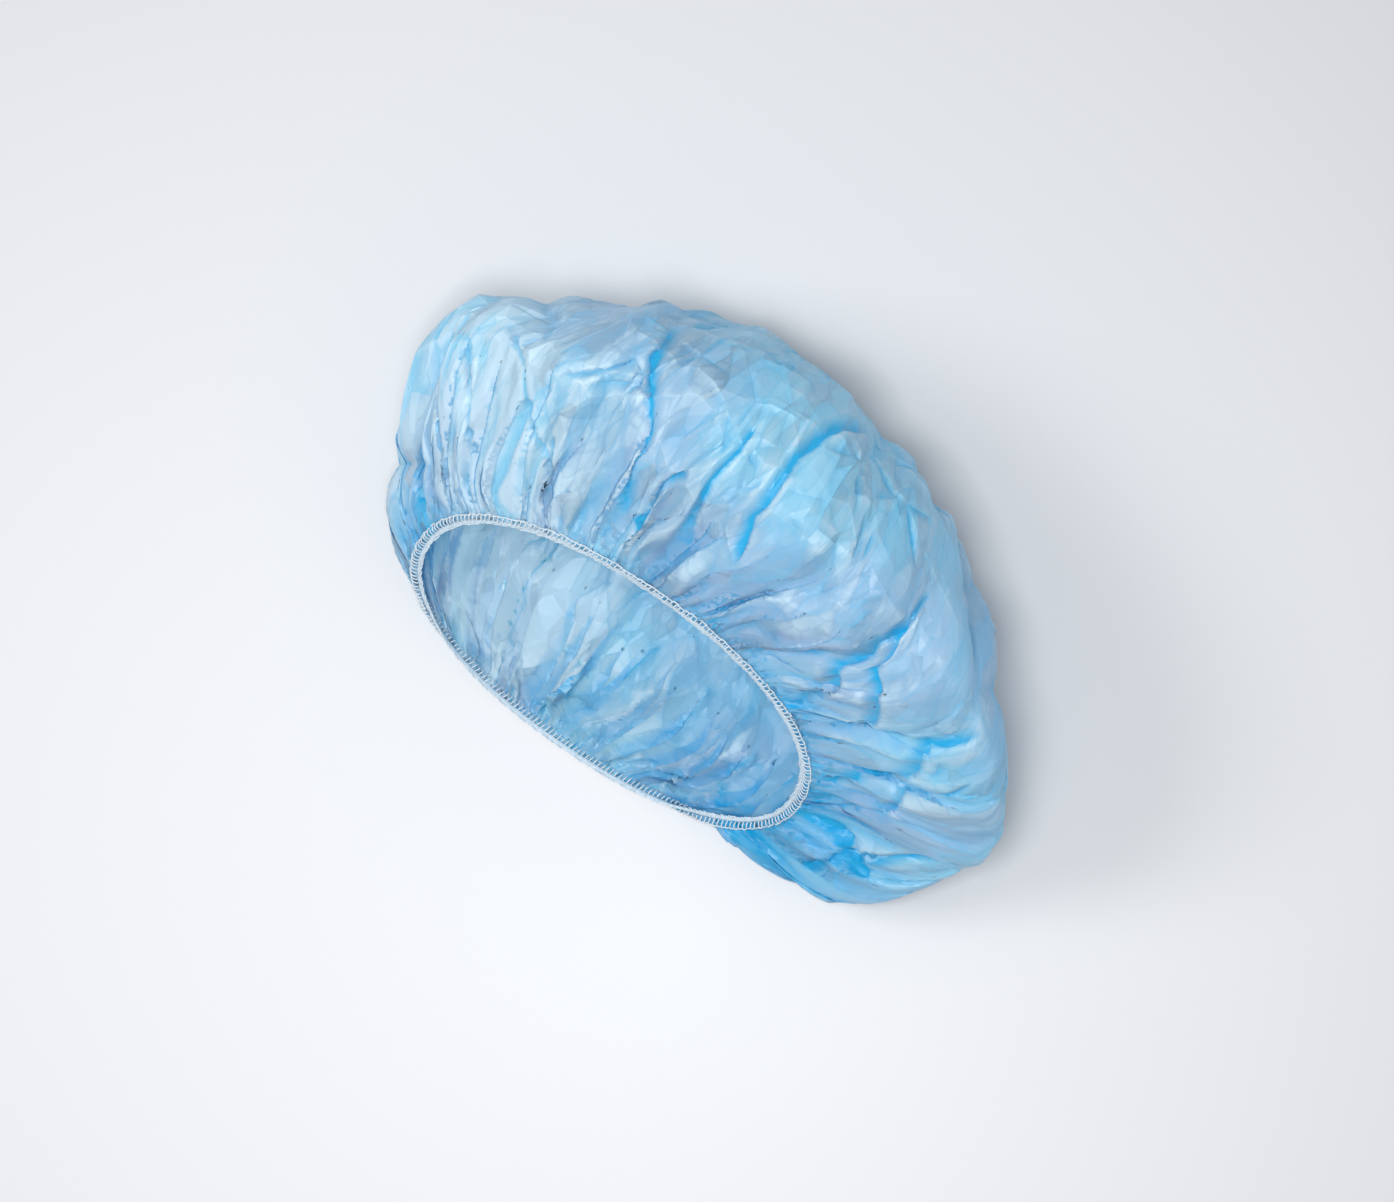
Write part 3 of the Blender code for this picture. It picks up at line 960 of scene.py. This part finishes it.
def buildElastic():
    turns, centre, _, intoCloth, outwards = hemFrames()
    rng = np.random.default_rng(hem["seed"])
    ripple = 1 + 0.10 * np.sin(turns * 88 + 0.8 * np.sin(turns * 5)) + 0.05 * rng.normal(size=len(turns))
    sides = np.arange(hem["sectionSides"]) * 2 * pi / hem["sectionSides"]
    across = np.sign(np.cos(sides)) * np.abs(np.cos(sides)) ** 0.8 * hem["elasticWidth"] / 2
    up = np.sign(np.sin(sides)) * np.abs(np.sin(sides)) ** 0.8 * hem["elasticThick"] / 2
    points = centre[:, None] + intoCloth[:, None] * (hem["elasticShift"] + across * ripple[:, None])[..., None]
    points = points + outwards[:, None] * (up * ripple[:, None])[..., None]
    rows, columns = len(turns), len(sides)
    faces = []
    for row in range(rows):
        for column in range(columns):
            nextRow, nextColumn = (row + 1) % rows, (column + 1) % columns
            ring = (row * columns + column, row * columns + nextColumn)
            faces.append((*ring, nextRow * columns + nextColumn, nextRow * columns + column))
    mesh = bpy.data.meshes.new("hemElastic")
    mesh.from_pydata(points.reshape(-1, 3).tolist(), [], faces)
    fixNormals(mesh)
    mesh.shade_smooth()
    mesh.materials.append(threadMaterial("elasticWhite", (0.56, 0.69, 0.80), 0.55))
    elastic = bpy.data.objects.new("hemElastic", mesh)
    scene.collection.objects.link(elastic)
    return elastic


def fixNormals(mesh):
    work = bmesh.new()
    work.from_mesh(mesh)
    bmesh.ops.recalc_face_normals(work, faces=work.faces)
    work.to_mesh(mesh)
    work.free()


def threadTree():
    # Geometry Nodes: thread stitches set along the hem's line
    tree = bpy.data.node_groups.new("threadStitches", "GeometryNodeTree")
    face = tree.interface
    face.new_socket("Line", in_out="INPUT", socket_type="NodeSocketGeometry")
    face.new_socket("Stitches", in_out="INPUT", socket_type="NodeSocketInt")
    for name in ("Start", "Rise", "End"):
        face.new_socket(name, in_out="INPUT", socket_type="NodeSocketVector")
    face.new_socket("Thread Radius", in_out="INPUT", socket_type="NodeSocketFloat")
    face.new_socket("Uneven", in_out="INPUT", socket_type="NodeSocketFloat")
    face.new_socket("Seed", in_out="INPUT", socket_type="NodeSocketInt")
    face.new_socket("Thread", in_out="INPUT", socket_type="NodeSocketMaterial")
    face.new_socket("Stitched", in_out="OUTPUT", socket_type="NodeSocketGeometry")
    nodes, links = tree.nodes, tree.links
    given = nodes.new("NodeGroupInput")
    line = nodes.new("GeometryNodeMeshToCurve")
    even = nodes.new("GeometryNodeResampleCurve")
    even.mode = "COUNT"
    links.new(given.outputs["Line"], line.inputs["Mesh"])
    links.new(line.outputs["Curve"], even.inputs["Curve"])
    links.new(given.outputs["Stitches"], even.inputs["Count"])
    arc = nodes.new("GeometryNodeCurveQuadraticBezier")
    arc.inputs["Resolution"].default_value = 7
    for name, socket in (("Start", "Start"), ("Rise", "Middle"), ("End", "End")):
        links.new(given.outputs[name], arc.inputs[socket])
    section = nodes.new("GeometryNodeCurvePrimitiveCircle")
    section.inputs["Resolution"].default_value = 6
    links.new(given.outputs["Thread Radius"], section.inputs["Radius"])
    thread = nodes.new("GeometryNodeCurveToMesh")
    thread.inputs["Fill Caps"].default_value = True
    links.new(arc.outputs["Curve"], thread.inputs["Curve"])
    links.new(section.outputs["Curve"], thread.inputs["Profile Curve"])
    up, into = nodes.new("GeometryNodeInputNamedAttribute"), nodes.new("GeometryNodeInputNamedAttribute")
    for node, name in ((up, "outwards"), (into, "intoCloth")):
        node.data_type = "FLOAT_VECTOR"
        node.inputs["Name"].default_value = name
    turn = nodes.new("FunctionNodeAxesToRotation")
    turn.primary_axis, turn.secondary_axis = "Z", "Y"
    links.new(up.outputs["Attribute"], turn.inputs["Primary Axis"])
    links.new(into.outputs["Attribute"], turn.inputs["Secondary Axis"])
    least, most = nodes.new("ShaderNodeMath"), nodes.new("ShaderNodeMath")
    least.operation, most.operation = "SUBTRACT", "ADD"
    size = nodes.new("FunctionNodeRandomValue")
    size.data_type = "FLOAT_VECTOR"
    for node, socket in ((least, "Min"), (most, "Max")):
        node.inputs[0].default_value = 1.0
        links.new(given.outputs["Uneven"], node.inputs[1])
        links.new(node.outputs[0], size.inputs[socket])
    links.new(given.outputs["Seed"], size.inputs["Seed"])
    place = nodes.new("GeometryNodeInstanceOnPoints")
    links.new(even.outputs["Curve"], place.inputs["Points"])
    links.new(thread.outputs["Mesh"], place.inputs["Instance"])
    links.new(turn.outputs["Rotation"], place.inputs["Rotation"])
    links.new(size.outputs["Value"], place.inputs["Scale"])
    real = nodes.new("GeometryNodeRealizeInstances")
    smooth = nodes.new("GeometryNodeSetShadeSmooth")
    finish = nodes.new("GeometryNodeSetMaterial")
    out = nodes.new("NodeGroupOutput")
    links.new(place.outputs["Instances"], real.inputs["Geometry"])
    links.new(real.outputs["Geometry"], smooth.inputs["Geometry"])
    links.new(smooth.outputs["Geometry"], finish.inputs["Geometry"])
    links.new(given.outputs["Thread"], finish.inputs["Material"])
    links.new(finish.outputs["Geometry"], out.inputs["Stitched"])
    return tree


def sew(tree, name, values):
    # one row of thread along the hem, made a plain mesh
    _, centre, _, intoCloth, outwards = hemFrames()
    count = len(centre)
    line = bpy.data.meshes.new(name + "Line")
    line.from_pydata(centre.tolist(), [(k, (k + 1) % count) for k in range(count)], [])
    for title, ways in (("intoCloth", intoCloth), ("outwards", outwards)):
        layer = line.attributes.new(title, "FLOAT_VECTOR", "POINT")
        layer.data.foreach_set("vector", ways.astype(np.float32).ravel())
    piece = bpy.data.objects.new(name, line)
    scene.collection.objects.link(piece)
    modifier = piece.modifiers.new("threadStitches", "NODES")
    modifier.node_group = tree
    for item in tree.interface.items_tree:
        if item.in_out == "INPUT" and item.name in values:
            modifier[item.identifier] = values[item.name]
    graph = bpy.context.evaluated_depsgraph_get()
    plain = bpy.data.meshes.new_from_object(piece.evaluated_get(graph))
    piece.modifiers.remove(modifier)
    piece.data = plain
    bpy.data.meshes.remove(line)
    return piece


# Each row of thread: where a stitch starts, bulges and ends, as along, into the cloth
# and outwards from the hem's line, in mm
threadRows = {
    "hemLoopsOutside": {"start": (-0.4, -0.2, 0.7), "rise": (0.1, 1.0, 2.4), "end": (0.4, 2.2, 1.0)},
    "hemLoopsInside": {"start": (0.4, -0.3, -0.6), "rise": (-0.1, 0.8, -2.2), "end": (-0.4, 2.1, -0.9)},
    "hemNeedleThread": {"start": (-0.95, 2.1, 1.1), "rise": (0.0, 2.5, 1.4), "end": (0.95, 2.1, 1.1)},
    "hemEdgeThread": {"start": (-1.0, -1.6, 0.3), "rise": (0.0, -1.9, 0.0), "end": (1.0, -1.6, -0.2)},
}


def buildThreads():
    tree = threadTree()
    material = threadMaterial("hemThread", (0.66, 0.76, 0.85), 0.7)
    pieces = []
    for number, (name, row) in enumerate(threadRows.items()):
        values = {
            "Stitches": hem["stitches"],
            "Start": [part * mm for part in row["start"]],
            "Rise": [part * mm for part in row["rise"]],
            "End": [part * mm for part in row["end"]],
            "Thread Radius": hem["threadRadius"],
            "Uneven": 0.14,
            "Seed": hem["seed"] + number,
            "Thread": material,
        }
        pieces.append(sew(tree, name, values))
    return pieces


def addGroup(name, inputs, outputs):
    # an empty shader group with its sockets, and its two end nodes
    group = bpy.data.node_groups.new(name, "ShaderNodeTree")
    for title, kind, value in inputs:
        socket = group.interface.new_socket(title, in_out="INPUT", socket_type=kind)
        if value is not None:
            socket.default_value = value
    for title, kind in outputs:
        group.interface.new_socket(title, in_out="OUTPUT", socket_type=kind)
    return group, group.nodes.new("NodeGroupInput"), group.nodes.new("NodeGroupOutput")


def fibreGroup():
    # fine fibres, as a height and a speckle of light and dark
    inputs = [("Vector", "NodeSocketVector", None), ("Scale", "NodeSocketFloat", 600.0)]
    outputs = [("Height", "NodeSocketFloat"), ("Speckle", "NodeSocketFloat")]
    group, given, out = addGroup("fibres", inputs, outputs)
    nodes, links = group.nodes, group.links
    threads = nodes.new("ShaderNodeTexNoise")
    threads.inputs["Detail"].default_value = 3.0
    threads.inputs["Roughness"].default_value = 0.65
    clumps = nodes.new("ShaderNodeTexNoise")
    clumps.inputs["Detail"].default_value = 2.0
    fewer = nodes.new("ShaderNodeMath")
    fewer.operation = "MULTIPLY"
    fewer.inputs[1].default_value = 0.25
    links.new(given.outputs["Vector"], threads.inputs["Vector"])
    links.new(given.outputs["Vector"], clumps.inputs["Vector"])
    links.new(given.outputs["Scale"], threads.inputs["Scale"])
    links.new(given.outputs["Scale"], fewer.inputs[0])
    links.new(fewer.outputs[0], clumps.inputs["Scale"])
    both = nodes.new("ShaderNodeMath")
    both.operation = "MULTIPLY"
    links.new(threads.outputs["Fac"], both.inputs[0])
    links.new(clumps.outputs["Fac"], both.inputs[1])
    links.new(threads.outputs["Fac"], out.inputs["Height"])
    links.new(both.outputs[0], out.inputs["Speckle"])
    return group


def paperGroup():
    # crumpled paper, drawn out from the disc's middle to its hem: each cell of a crooked net tips its own way and has
    # its own painted tone, paler as a painted glint and bluer as painted shade; its edges give lines for painted shade
    # along the creases
    inputs = [("Vector", "NodeSocketVector", None), ("Around", "NodeSocketFloat", 26.0)]
    inputs += [("Along", "NodeSocketFloat", 24.0), ("Tip", "NodeSocketFloat", 0.3), ("Normal", "NodeSocketVector", None)]
    outputs = [("Normal", "NodeSocketVector"), ("Painted Light Tone", "NodeSocketFloat"), ("Line", "NodeSocketFloat")]
    group, given, out = addGroup("crumpledPaper", inputs, outputs)
    nodes, links = group.nodes, group.links
    centred, way, wide, long, place, tip, tilted, even = (nodes.new("ShaderNodeVectorMath") for _ in range(8))
    centred.operation, way.operation, wide.operation, long.operation = "SUBTRACT", "NORMALIZE", "SCALE", "LENGTH"
    place.operation, tip.operation, tilted.operation, even.operation = "ADD", "SUBTRACT", "MULTIPLY_ADD", "NORMALIZE"
    centred.inputs[1].default_value = (0.5, 0.5, 0)
    links.new(given.outputs["Vector"], centred.inputs[0])
    links.new(centred.outputs["Vector"], way.inputs[0])
    links.new(centred.outputs["Vector"], long.inputs[0])
    links.new(way.outputs["Vector"], wide.inputs[0])
    links.new(given.outputs["Around"], wide.inputs["Scale"])
    scaled = nodes.new("ShaderNodeMath")
    scaled.operation = "MULTIPLY"
    links.new(long.outputs["Value"], scaled.inputs[0])
    links.new(given.outputs["Along"], scaled.inputs[1])
    deep = nodes.new("ShaderNodeCombineXYZ")
    links.new(scaled.outputs[0], deep.inputs["Z"])
    links.new(wide.outputs["Vector"], place.inputs[0])
    links.new(deep.outputs["Vector"], place.inputs[1])
    cells, edges = nodes.new("ShaderNodeTexVoronoi"), nodes.new("ShaderNodeTexVoronoi")
    edges.feature = "DISTANCE_TO_EDGE"
    for node in (cells, edges):
        node.inputs["Scale"].default_value = 1.0
        links.new(place.outputs["Vector"], node.inputs["Vector"])
    links.new(cells.outputs["Color"], tip.inputs[0])
    tip.inputs[1].default_value = (0.5, 0.5, 0.5)
    links.new(tip.outputs["Vector"], tilted.inputs[0])
    links.new(given.outputs["Tip"], tilted.inputs[1])
    links.new(given.outputs["Normal"], tilted.inputs[2])
    links.new(tilted.outputs["Vector"], even.inputs[0])
    line = nodes.new("ShaderNodeMapRange")
    line.interpolation_type = "SMOOTHSTEP"
    line.inputs["From Max"].default_value = 0.10
    line.inputs["To Min"].default_value = 1.0
    line.inputs["To Max"].default_value = 0.0
    links.new(edges.outputs["Distance"], line.inputs["Value"])
    parts = nodes.new("ShaderNodeSeparateColor")
    links.new(cells.outputs["Color"], parts.inputs["Color"])
    links.new(even.outputs["Vector"], out.inputs["Normal"])
    links.new(parts.outputs["Blue"], out.inputs["Painted Light Tone"])
    links.new(line.outputs["Result"], out.inputs["Line"])
    return group


def sharedFibres():
    return bpy.data.node_groups.get("fibres") or fibreGroup()


def newMaterial(name):
    material = bpy.data.materials.new(name)
    material.use_nodes = True
    nodes = material.node_tree.nodes
    nodes.clear()
    return material, nodes, material.node_tree.links


# The cloth's look. Colours are linear.
clothLook = {
    "pale": (0.39, 0.72, 0.88, 1),  # one layer
    "paintedHighlight": (0.70, 0.88, 0.96, 1),  # painted highlight: facets taken as turned to the light, paler ridges and painted light patches
    "lavender": (0.41, 0.58, 0.74, 1),
    "deep": (0.01, 0.45, 0.80, 1),  # where layers lie on each other, and painted shade in valleys, creases, pucker valleys and shaded patches
    "through": (0.32, 0.74, 0.95, 1),
    "roughness": 0.36,
    "throughOutside": 0.48,  # how much light passes the cloth
    "throughInside": 0.36,
    # painted shade: how much bluer the valleys and paler the ridges are
    "valleyShadeBlue": 0.38,
    # how fast a paler total turns to the painted highlight
    "paintedHighlightGain": 3.5,
}

# Paper facets of the cloth: how many cells around and along, how far they tip, how much their painted tones differ, as
# painted glints and shade, and how blue their lines are, as painted shade along the creases
facets = {
    "large": {"around": 13, "along": 17, "tip": 0.55, "paintedLightTone": 0.26, "line": 0.12},
    "small": {"around": 30, "along": 34, "tip": 0.35, "paintedLightTone": 0.14, "line": 0.10},
}


def clothMaterial():
    material, nodes, links = newMaterial("paleBlueNonwoven")
    sharedPaper = paperGroup()
    place = nodes.new("ShaderNodeTexCoord")
    doubled, gatheredAndPuckerShade, ridge, paintedLightTone = (nodes.new("ShaderNodeAttribute") for _ in range(4))
    doubled.attribute_name, gatheredAndPuckerShade.attribute_name = "doubled", "gatheredAndPuckerShade"
    ridge.attribute_name, paintedLightTone.attribute_name = "ridge", "paintedLightTone"
    # doubled and gathered cloth, with the painted shade of the pucker valleys
    deepest = nodes.new("ShaderNodeMath")
    deepest.operation = "MAXIMUM"
    links.new(doubled.outputs["Fac"], deepest.inputs[0])
    links.new(gatheredAndPuckerShade.outputs["Fac"], deepest.inputs[1])
    side = nodes.new("ShaderNodeNewGeometry")  # painted shade: valleys bluer and ridges paler; a ridge outside is a valley inside
    flip = nodes.new("ShaderNodeMath")
    flip.operation = "MULTIPLY_ADD"
    flip.inputs[1].default_value = 2 * clothLook["valleyShadeBlue"]
    flip.inputs[2].default_value = -clothLook["valleyShadeBlue"]
    links.new(side.outputs["Backfacing"], flip.inputs[0])
    # doubled and gathered cloth, plus the painted shade of valleys and paler ridges
    layersAndValleyShade = nodes.new("ShaderNodeMath")
    layersAndValleyShade.operation = "MULTIPLY_ADD"
    links.new(ridge.outputs["Fac"], layersAndValleyShade.inputs[0])
    links.new(flip.outputs[0], layersAndValleyShade.inputs[1])
    links.new(deepest.outputs[0], layersAndValleyShade.inputs[2])
    fibres = nodes.new("ShaderNodeGroup")
    fibres.node_tree = sharedFibres()
    fibres.inputs["Scale"].default_value = 420.0
    links.new(place.outputs["UV"], fibres.inputs["Vector"])
    cloudy = nodes.new("ShaderNodeTexNoise")
    cloudy.inputs["Scale"].default_value = 14.0
    cloudy.inputs["Detail"].default_value = 4.0
    links.new(place.outputs["UV"], cloudy.inputs["Vector"])
    shade = nodes.new("ShaderNodeMath")
    shade.operation = "MULTIPLY_ADD"
    shade.inputs[1].default_value = 0.30
    shade.inputs[2].default_value = -0.15
    links.new(cloudy.outputs["Fac"], shade.inputs[0])
    total = nodes.new("ShaderNodeMath")
    links.new(layersAndValleyShade.outputs[0], total.inputs[0])
    colour = nodes.new("ShaderNodeMix")
    colour.data_type = "RGBA"
    colour.clamp_factor = True
    colour.inputs["B"].default_value = clothLook["deep"]
    hue = nodes.new("ShaderNodeTexNoise")
    hue.inputs["Scale"].default_value = 5.0
    links.new(place.outputs["UV"], hue.inputs["Vector"])
    panel = nodes.new("ShaderNodeMapRange")
    panel.inputs["From Min"].default_value = 0.42
    panel.inputs["From Max"].default_value = 0.58
    links.new(hue.outputs["Fac"], panel.inputs["Value"])
    single = nodes.new("ShaderNodeMix")
    single.data_type = "RGBA"
    single.inputs["A"].default_value = clothLook["pale"]
    single.inputs["B"].default_value = clothLook["lavender"]
    links.new(panel.outputs["Result"], single.inputs["Factor"])
    # painted highlight: the further the total falls below zero, the more the colour turns to the painted highlight
    paintedHighlightShare = nodes.new("ShaderNodeMath")
    paintedHighlightShare.operation = "MULTIPLY"
    paintedHighlightShare.use_clamp = True
    paintedHighlightShare.inputs[1].default_value = -clothLook["paintedHighlightGain"]
    whiter = nodes.new("ShaderNodeMix")
    whiter.data_type = "RGBA"
    whiter.inputs["B"].default_value = clothLook["paintedHighlight"]
    links.new(total.outputs[0], paintedHighlightShare.inputs[0])
    links.new(paintedHighlightShare.outputs[0], whiter.inputs["Factor"])
    links.new(single.outputs["Result"], whiter.inputs["A"])
    links.new(whiter.outputs["Result"], colour.inputs["A"])
    links.new(total.outputs[0], colour.inputs["Factor"])
    bent = nodes.new("ShaderNodeTexNoise")
    bent.inputs["Scale"].default_value = 12.0
    links.new(place.outputs["UV"], bent.inputs["Vector"])
    warp = nodes.new("ShaderNodeVectorMath")
    warp.operation = "MULTIPLY_ADD"
    warp.inputs[1].default_value = (0.008, 0.008, 0.0)
    links.new(bent.outputs["Color"], warp.inputs[0])
    links.new(place.outputs["UV"], warp.inputs[2])
    # each net of facets tips the normal, paints glints and shade as tones, and paints shade along its crease lines
    relief, blue = side.outputs["Normal"], None
    for facet in facets.values():
        paper = nodes.new("ShaderNodeGroup")
        paper.node_tree = sharedPaper
        paper.inputs["Around"].default_value = facet["around"]
        paper.inputs["Along"].default_value = facet["along"]
        paper.inputs["Tip"].default_value = facet["tip"]
        links.new(warp.outputs["Vector"], paper.inputs["Vector"])
        links.new(relief, paper.inputs["Normal"])
        relief = paper.outputs["Normal"]
        for output, share in (("Painted Light Tone", facet["paintedLightTone"]), ("Line", facet["line"])):
            more = nodes.new("ShaderNodeMath")
            more.operation = "MULTIPLY_ADD"
            more.inputs[1].default_value = share
            more.inputs[2].default_value = -0.5 * facet["paintedLightTone"] if blue is None else 0.0
            links.new(paper.outputs[output], more.inputs[0])
            if blue is not None:
                links.new(blue, more.inputs[2])
            blue = more.outputs[0]
    # random cloudiness plus the painted light and shade of the broad patches
    broad = nodes.new("ShaderNodeMath")
    links.new(shade.outputs[0], broad.inputs[0])
    links.new(paintedLightTone.outputs["Fac"], broad.inputs[1])
    facetBlue = nodes.new("ShaderNodeMath")
    links.new(broad.outputs[0], facetBlue.inputs[0])
    links.new(blue, facetBlue.inputs[1])
    links.new(facetBlue.outputs[0], total.inputs[1])
    grain = nodes.new("ShaderNodeBump")
    grain.inputs["Strength"].default_value = 0.25
    grain.inputs["Distance"].default_value = 0.12 * mm
    links.new(fibres.outputs["Height"], grain.inputs["Height"])
    links.new(relief, grain.inputs["Normal"])
    front = nodes.new("ShaderNodeBsdfPrincipled")
    front.inputs["Roughness"].default_value = clothLook["roughness"]
    front.inputs["Sheen Weight"].default_value = 0.15
    front.inputs["Sheen Roughness"].default_value = 0.4
    links.new(colour.outputs["Result"], front.inputs["Base Color"])
    links.new(grain.outputs["Normal"], front.inputs["Normal"])
    through = nodes.new("ShaderNodeBsdfTranslucent")
    through.inputs["Color"].default_value = clothLook["through"]
    passing = nodes.new("ShaderNodeMapRange")
    passing.inputs["To Min"].default_value = clothLook["throughOutside"]
    passing.inputs["To Max"].default_value = clothLook["throughInside"]
    links.new(side.outputs["Backfacing"], passing.inputs["Value"])
    lit = nodes.new("ShaderNodeMixShader")
    links.new(passing.outputs["Result"], lit.inputs["Fac"])
    links.new(front.outputs["BSDF"], lit.inputs[1])
    links.new(through.outputs["BSDF"], lit.inputs[2])
    out = nodes.new("ShaderNodeOutputMaterial")
    links.new(lit.outputs["Shader"], out.inputs["Surface"])
    return material


def threadMaterial(name, colour, roughness):
    material, nodes, links = newMaterial(name)
    place = nodes.new("ShaderNodeTexCoord")
    fibres = nodes.new("ShaderNodeGroup")
    fibres.node_tree = sharedFibres()
    fibres.inputs["Scale"].default_value = 900.0
    links.new(place.outputs["Object"], fibres.inputs["Vector"])
    shade = nodes.new("ShaderNodeMix")
    shade.data_type = "RGBA"
    shade.inputs["A"].default_value = (*[part * 0.55 for part in colour], 1)
    shade.inputs["B"].default_value = (*[min(1.0, part * 1.2) for part in colour], 1)
    links.new(fibres.outputs["Height"], shade.inputs["Factor"])
    bump = nodes.new("ShaderNodeBump")
    bump.inputs["Strength"].default_value = 0.5
    bump.inputs["Distance"].default_value = 0.2 * mm
    links.new(fibres.outputs["Height"], bump.inputs["Height"])
    thread = nodes.new("ShaderNodeBsdfPrincipled")
    thread.inputs["Roughness"].default_value = roughness
    links.new(shade.outputs["Result"], thread.inputs["Base Color"])
    links.new(bump.outputs["Normal"], thread.inputs["Normal"])
    out = nodes.new("ShaderNodeOutputMaterial")
    links.new(thread.outputs["BSDF"], out.inputs["Surface"])
    return material


def makeCamera():
    view = bpy.data.objects.new("camera", bpy.data.cameras.new("camera"))
    view.data.lens = camera["lens"]
    view.data.sensor_width = camera["sensor"]
    view.data.clip_start = 0.1
    view.data.clip_end = 20.0
    view.location = camera["place"]
    view.rotation_euler = (0, 0, picture["turn"])
    scene.collection.objects.link(view)
    scene.camera = view


# Lights, placed by the picture's right and up and by height, in metres
lights = {
    "overhead": {"right": -0.13, "up": -0.09, "height": 1.9, "size": 0.4, "power": 19, "colour": (1, 1, 1)},
    "window": {"right": -1.00, "up": 0.20, "height": 1.3, "size": 0.6, "power": 9, "colour": (1, 1, 1)},
}


def makeLights():
    c, s = cos(picture["turn"]), sin(picture["turn"])
    for name, light in lights.items():
        lamp = bpy.data.objects.new(name, bpy.data.lights.new(name, "AREA"))
        lamp.data.size = light["size"]
        lamp.data.energy = light["power"]
        lamp.data.color = light["colour"]
        right, up = light["right"], light["up"]
        lamp.location = (right * c - up * s, right * s + up * c, light["height"])
        way = Vector((0, 0, 0.04)) - lamp.location
        lamp.rotation_euler = way.to_track_quat("-Z", "Y").to_euler()
        lamp.visible_camera = False
        scene.collection.objects.link(lamp)
    world = bpy.data.worlds.new("studio")
    scene.world = world
    world.use_nodes = True
    sky = world.node_tree.nodes["Background"]
    sky.inputs["Color"].default_value = (0.96, 0.98, 1.0, 1)
    sky.inputs["Strength"].default_value = 0.48
    scene.view_settings.view_transform = "Standard"


def makeFloor():
    mesh = bpy.data.meshes.new("floor")
    half = 3.0
    mesh.from_pydata([(-half, -half, 0), (half, -half, 0), (half, half, 0), (-half, half, 0)], [], [(0, 1, 2, 3)])
    material, nodes, links = newMaterial("paleTable")
    place = nodes.new("ShaderNodeTexCoord")
    # painted light falloff: the table is painted lighter round a middle near the cap and darker further out
    turned = nodes.new("ShaderNodeMapping")
    turned.vector_type = "TEXTURE"
    turned.inputs["Location"].default_value = (0.05, -0.11, 0)
    turned.inputs["Scale"].default_value = (0.8, 0.8, 0.8)
    paintedLightFalloff = nodes.new("ShaderNodeTexGradient")
    paintedLightFalloff.gradient_type = "SPHERICAL"
    paintedLightTone = nodes.new("ShaderNodeMix")
    paintedLightTone.data_type = "RGBA"
    paintedLightTone.inputs["A"].default_value = (0.40, 0.41, 0.44, 1)
    paintedLightTone.inputs["B"].default_value = (0.78, 0.785, 0.80, 1)
    table = nodes.new("ShaderNodeBsdfPrincipled")
    table.inputs["Roughness"].default_value = 0.8
    out = nodes.new("ShaderNodeOutputMaterial")
    links.new(place.outputs["Object"], turned.inputs["Vector"])
    links.new(turned.outputs["Vector"], paintedLightFalloff.inputs["Vector"])
    links.new(paintedLightFalloff.outputs["Fac"], paintedLightTone.inputs["Factor"])
    links.new(paintedLightTone.outputs["Result"], table.inputs["Base Color"])
    links.new(table.outputs["BSDF"], out.inputs["Surface"])
    mesh.materials.append(material)
    floor = bpy.data.objects.new("floor", mesh)
    scene.collection.objects.link(floor)


makeCamera()
makeFloor()
makeLights()
print("camera, floor and lights set")

capCloth = buildCap()
hemElastic = buildElastic()
hemThreads = buildThreads()
print("hem sewn:", len(hemThreads), "rows of thread")

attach(capCloth, "root")
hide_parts("cap_shell")
for piece in (hemElastic, *hemThreads):
    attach(piece, "root")
    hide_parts("elastic_hem")

print("done")
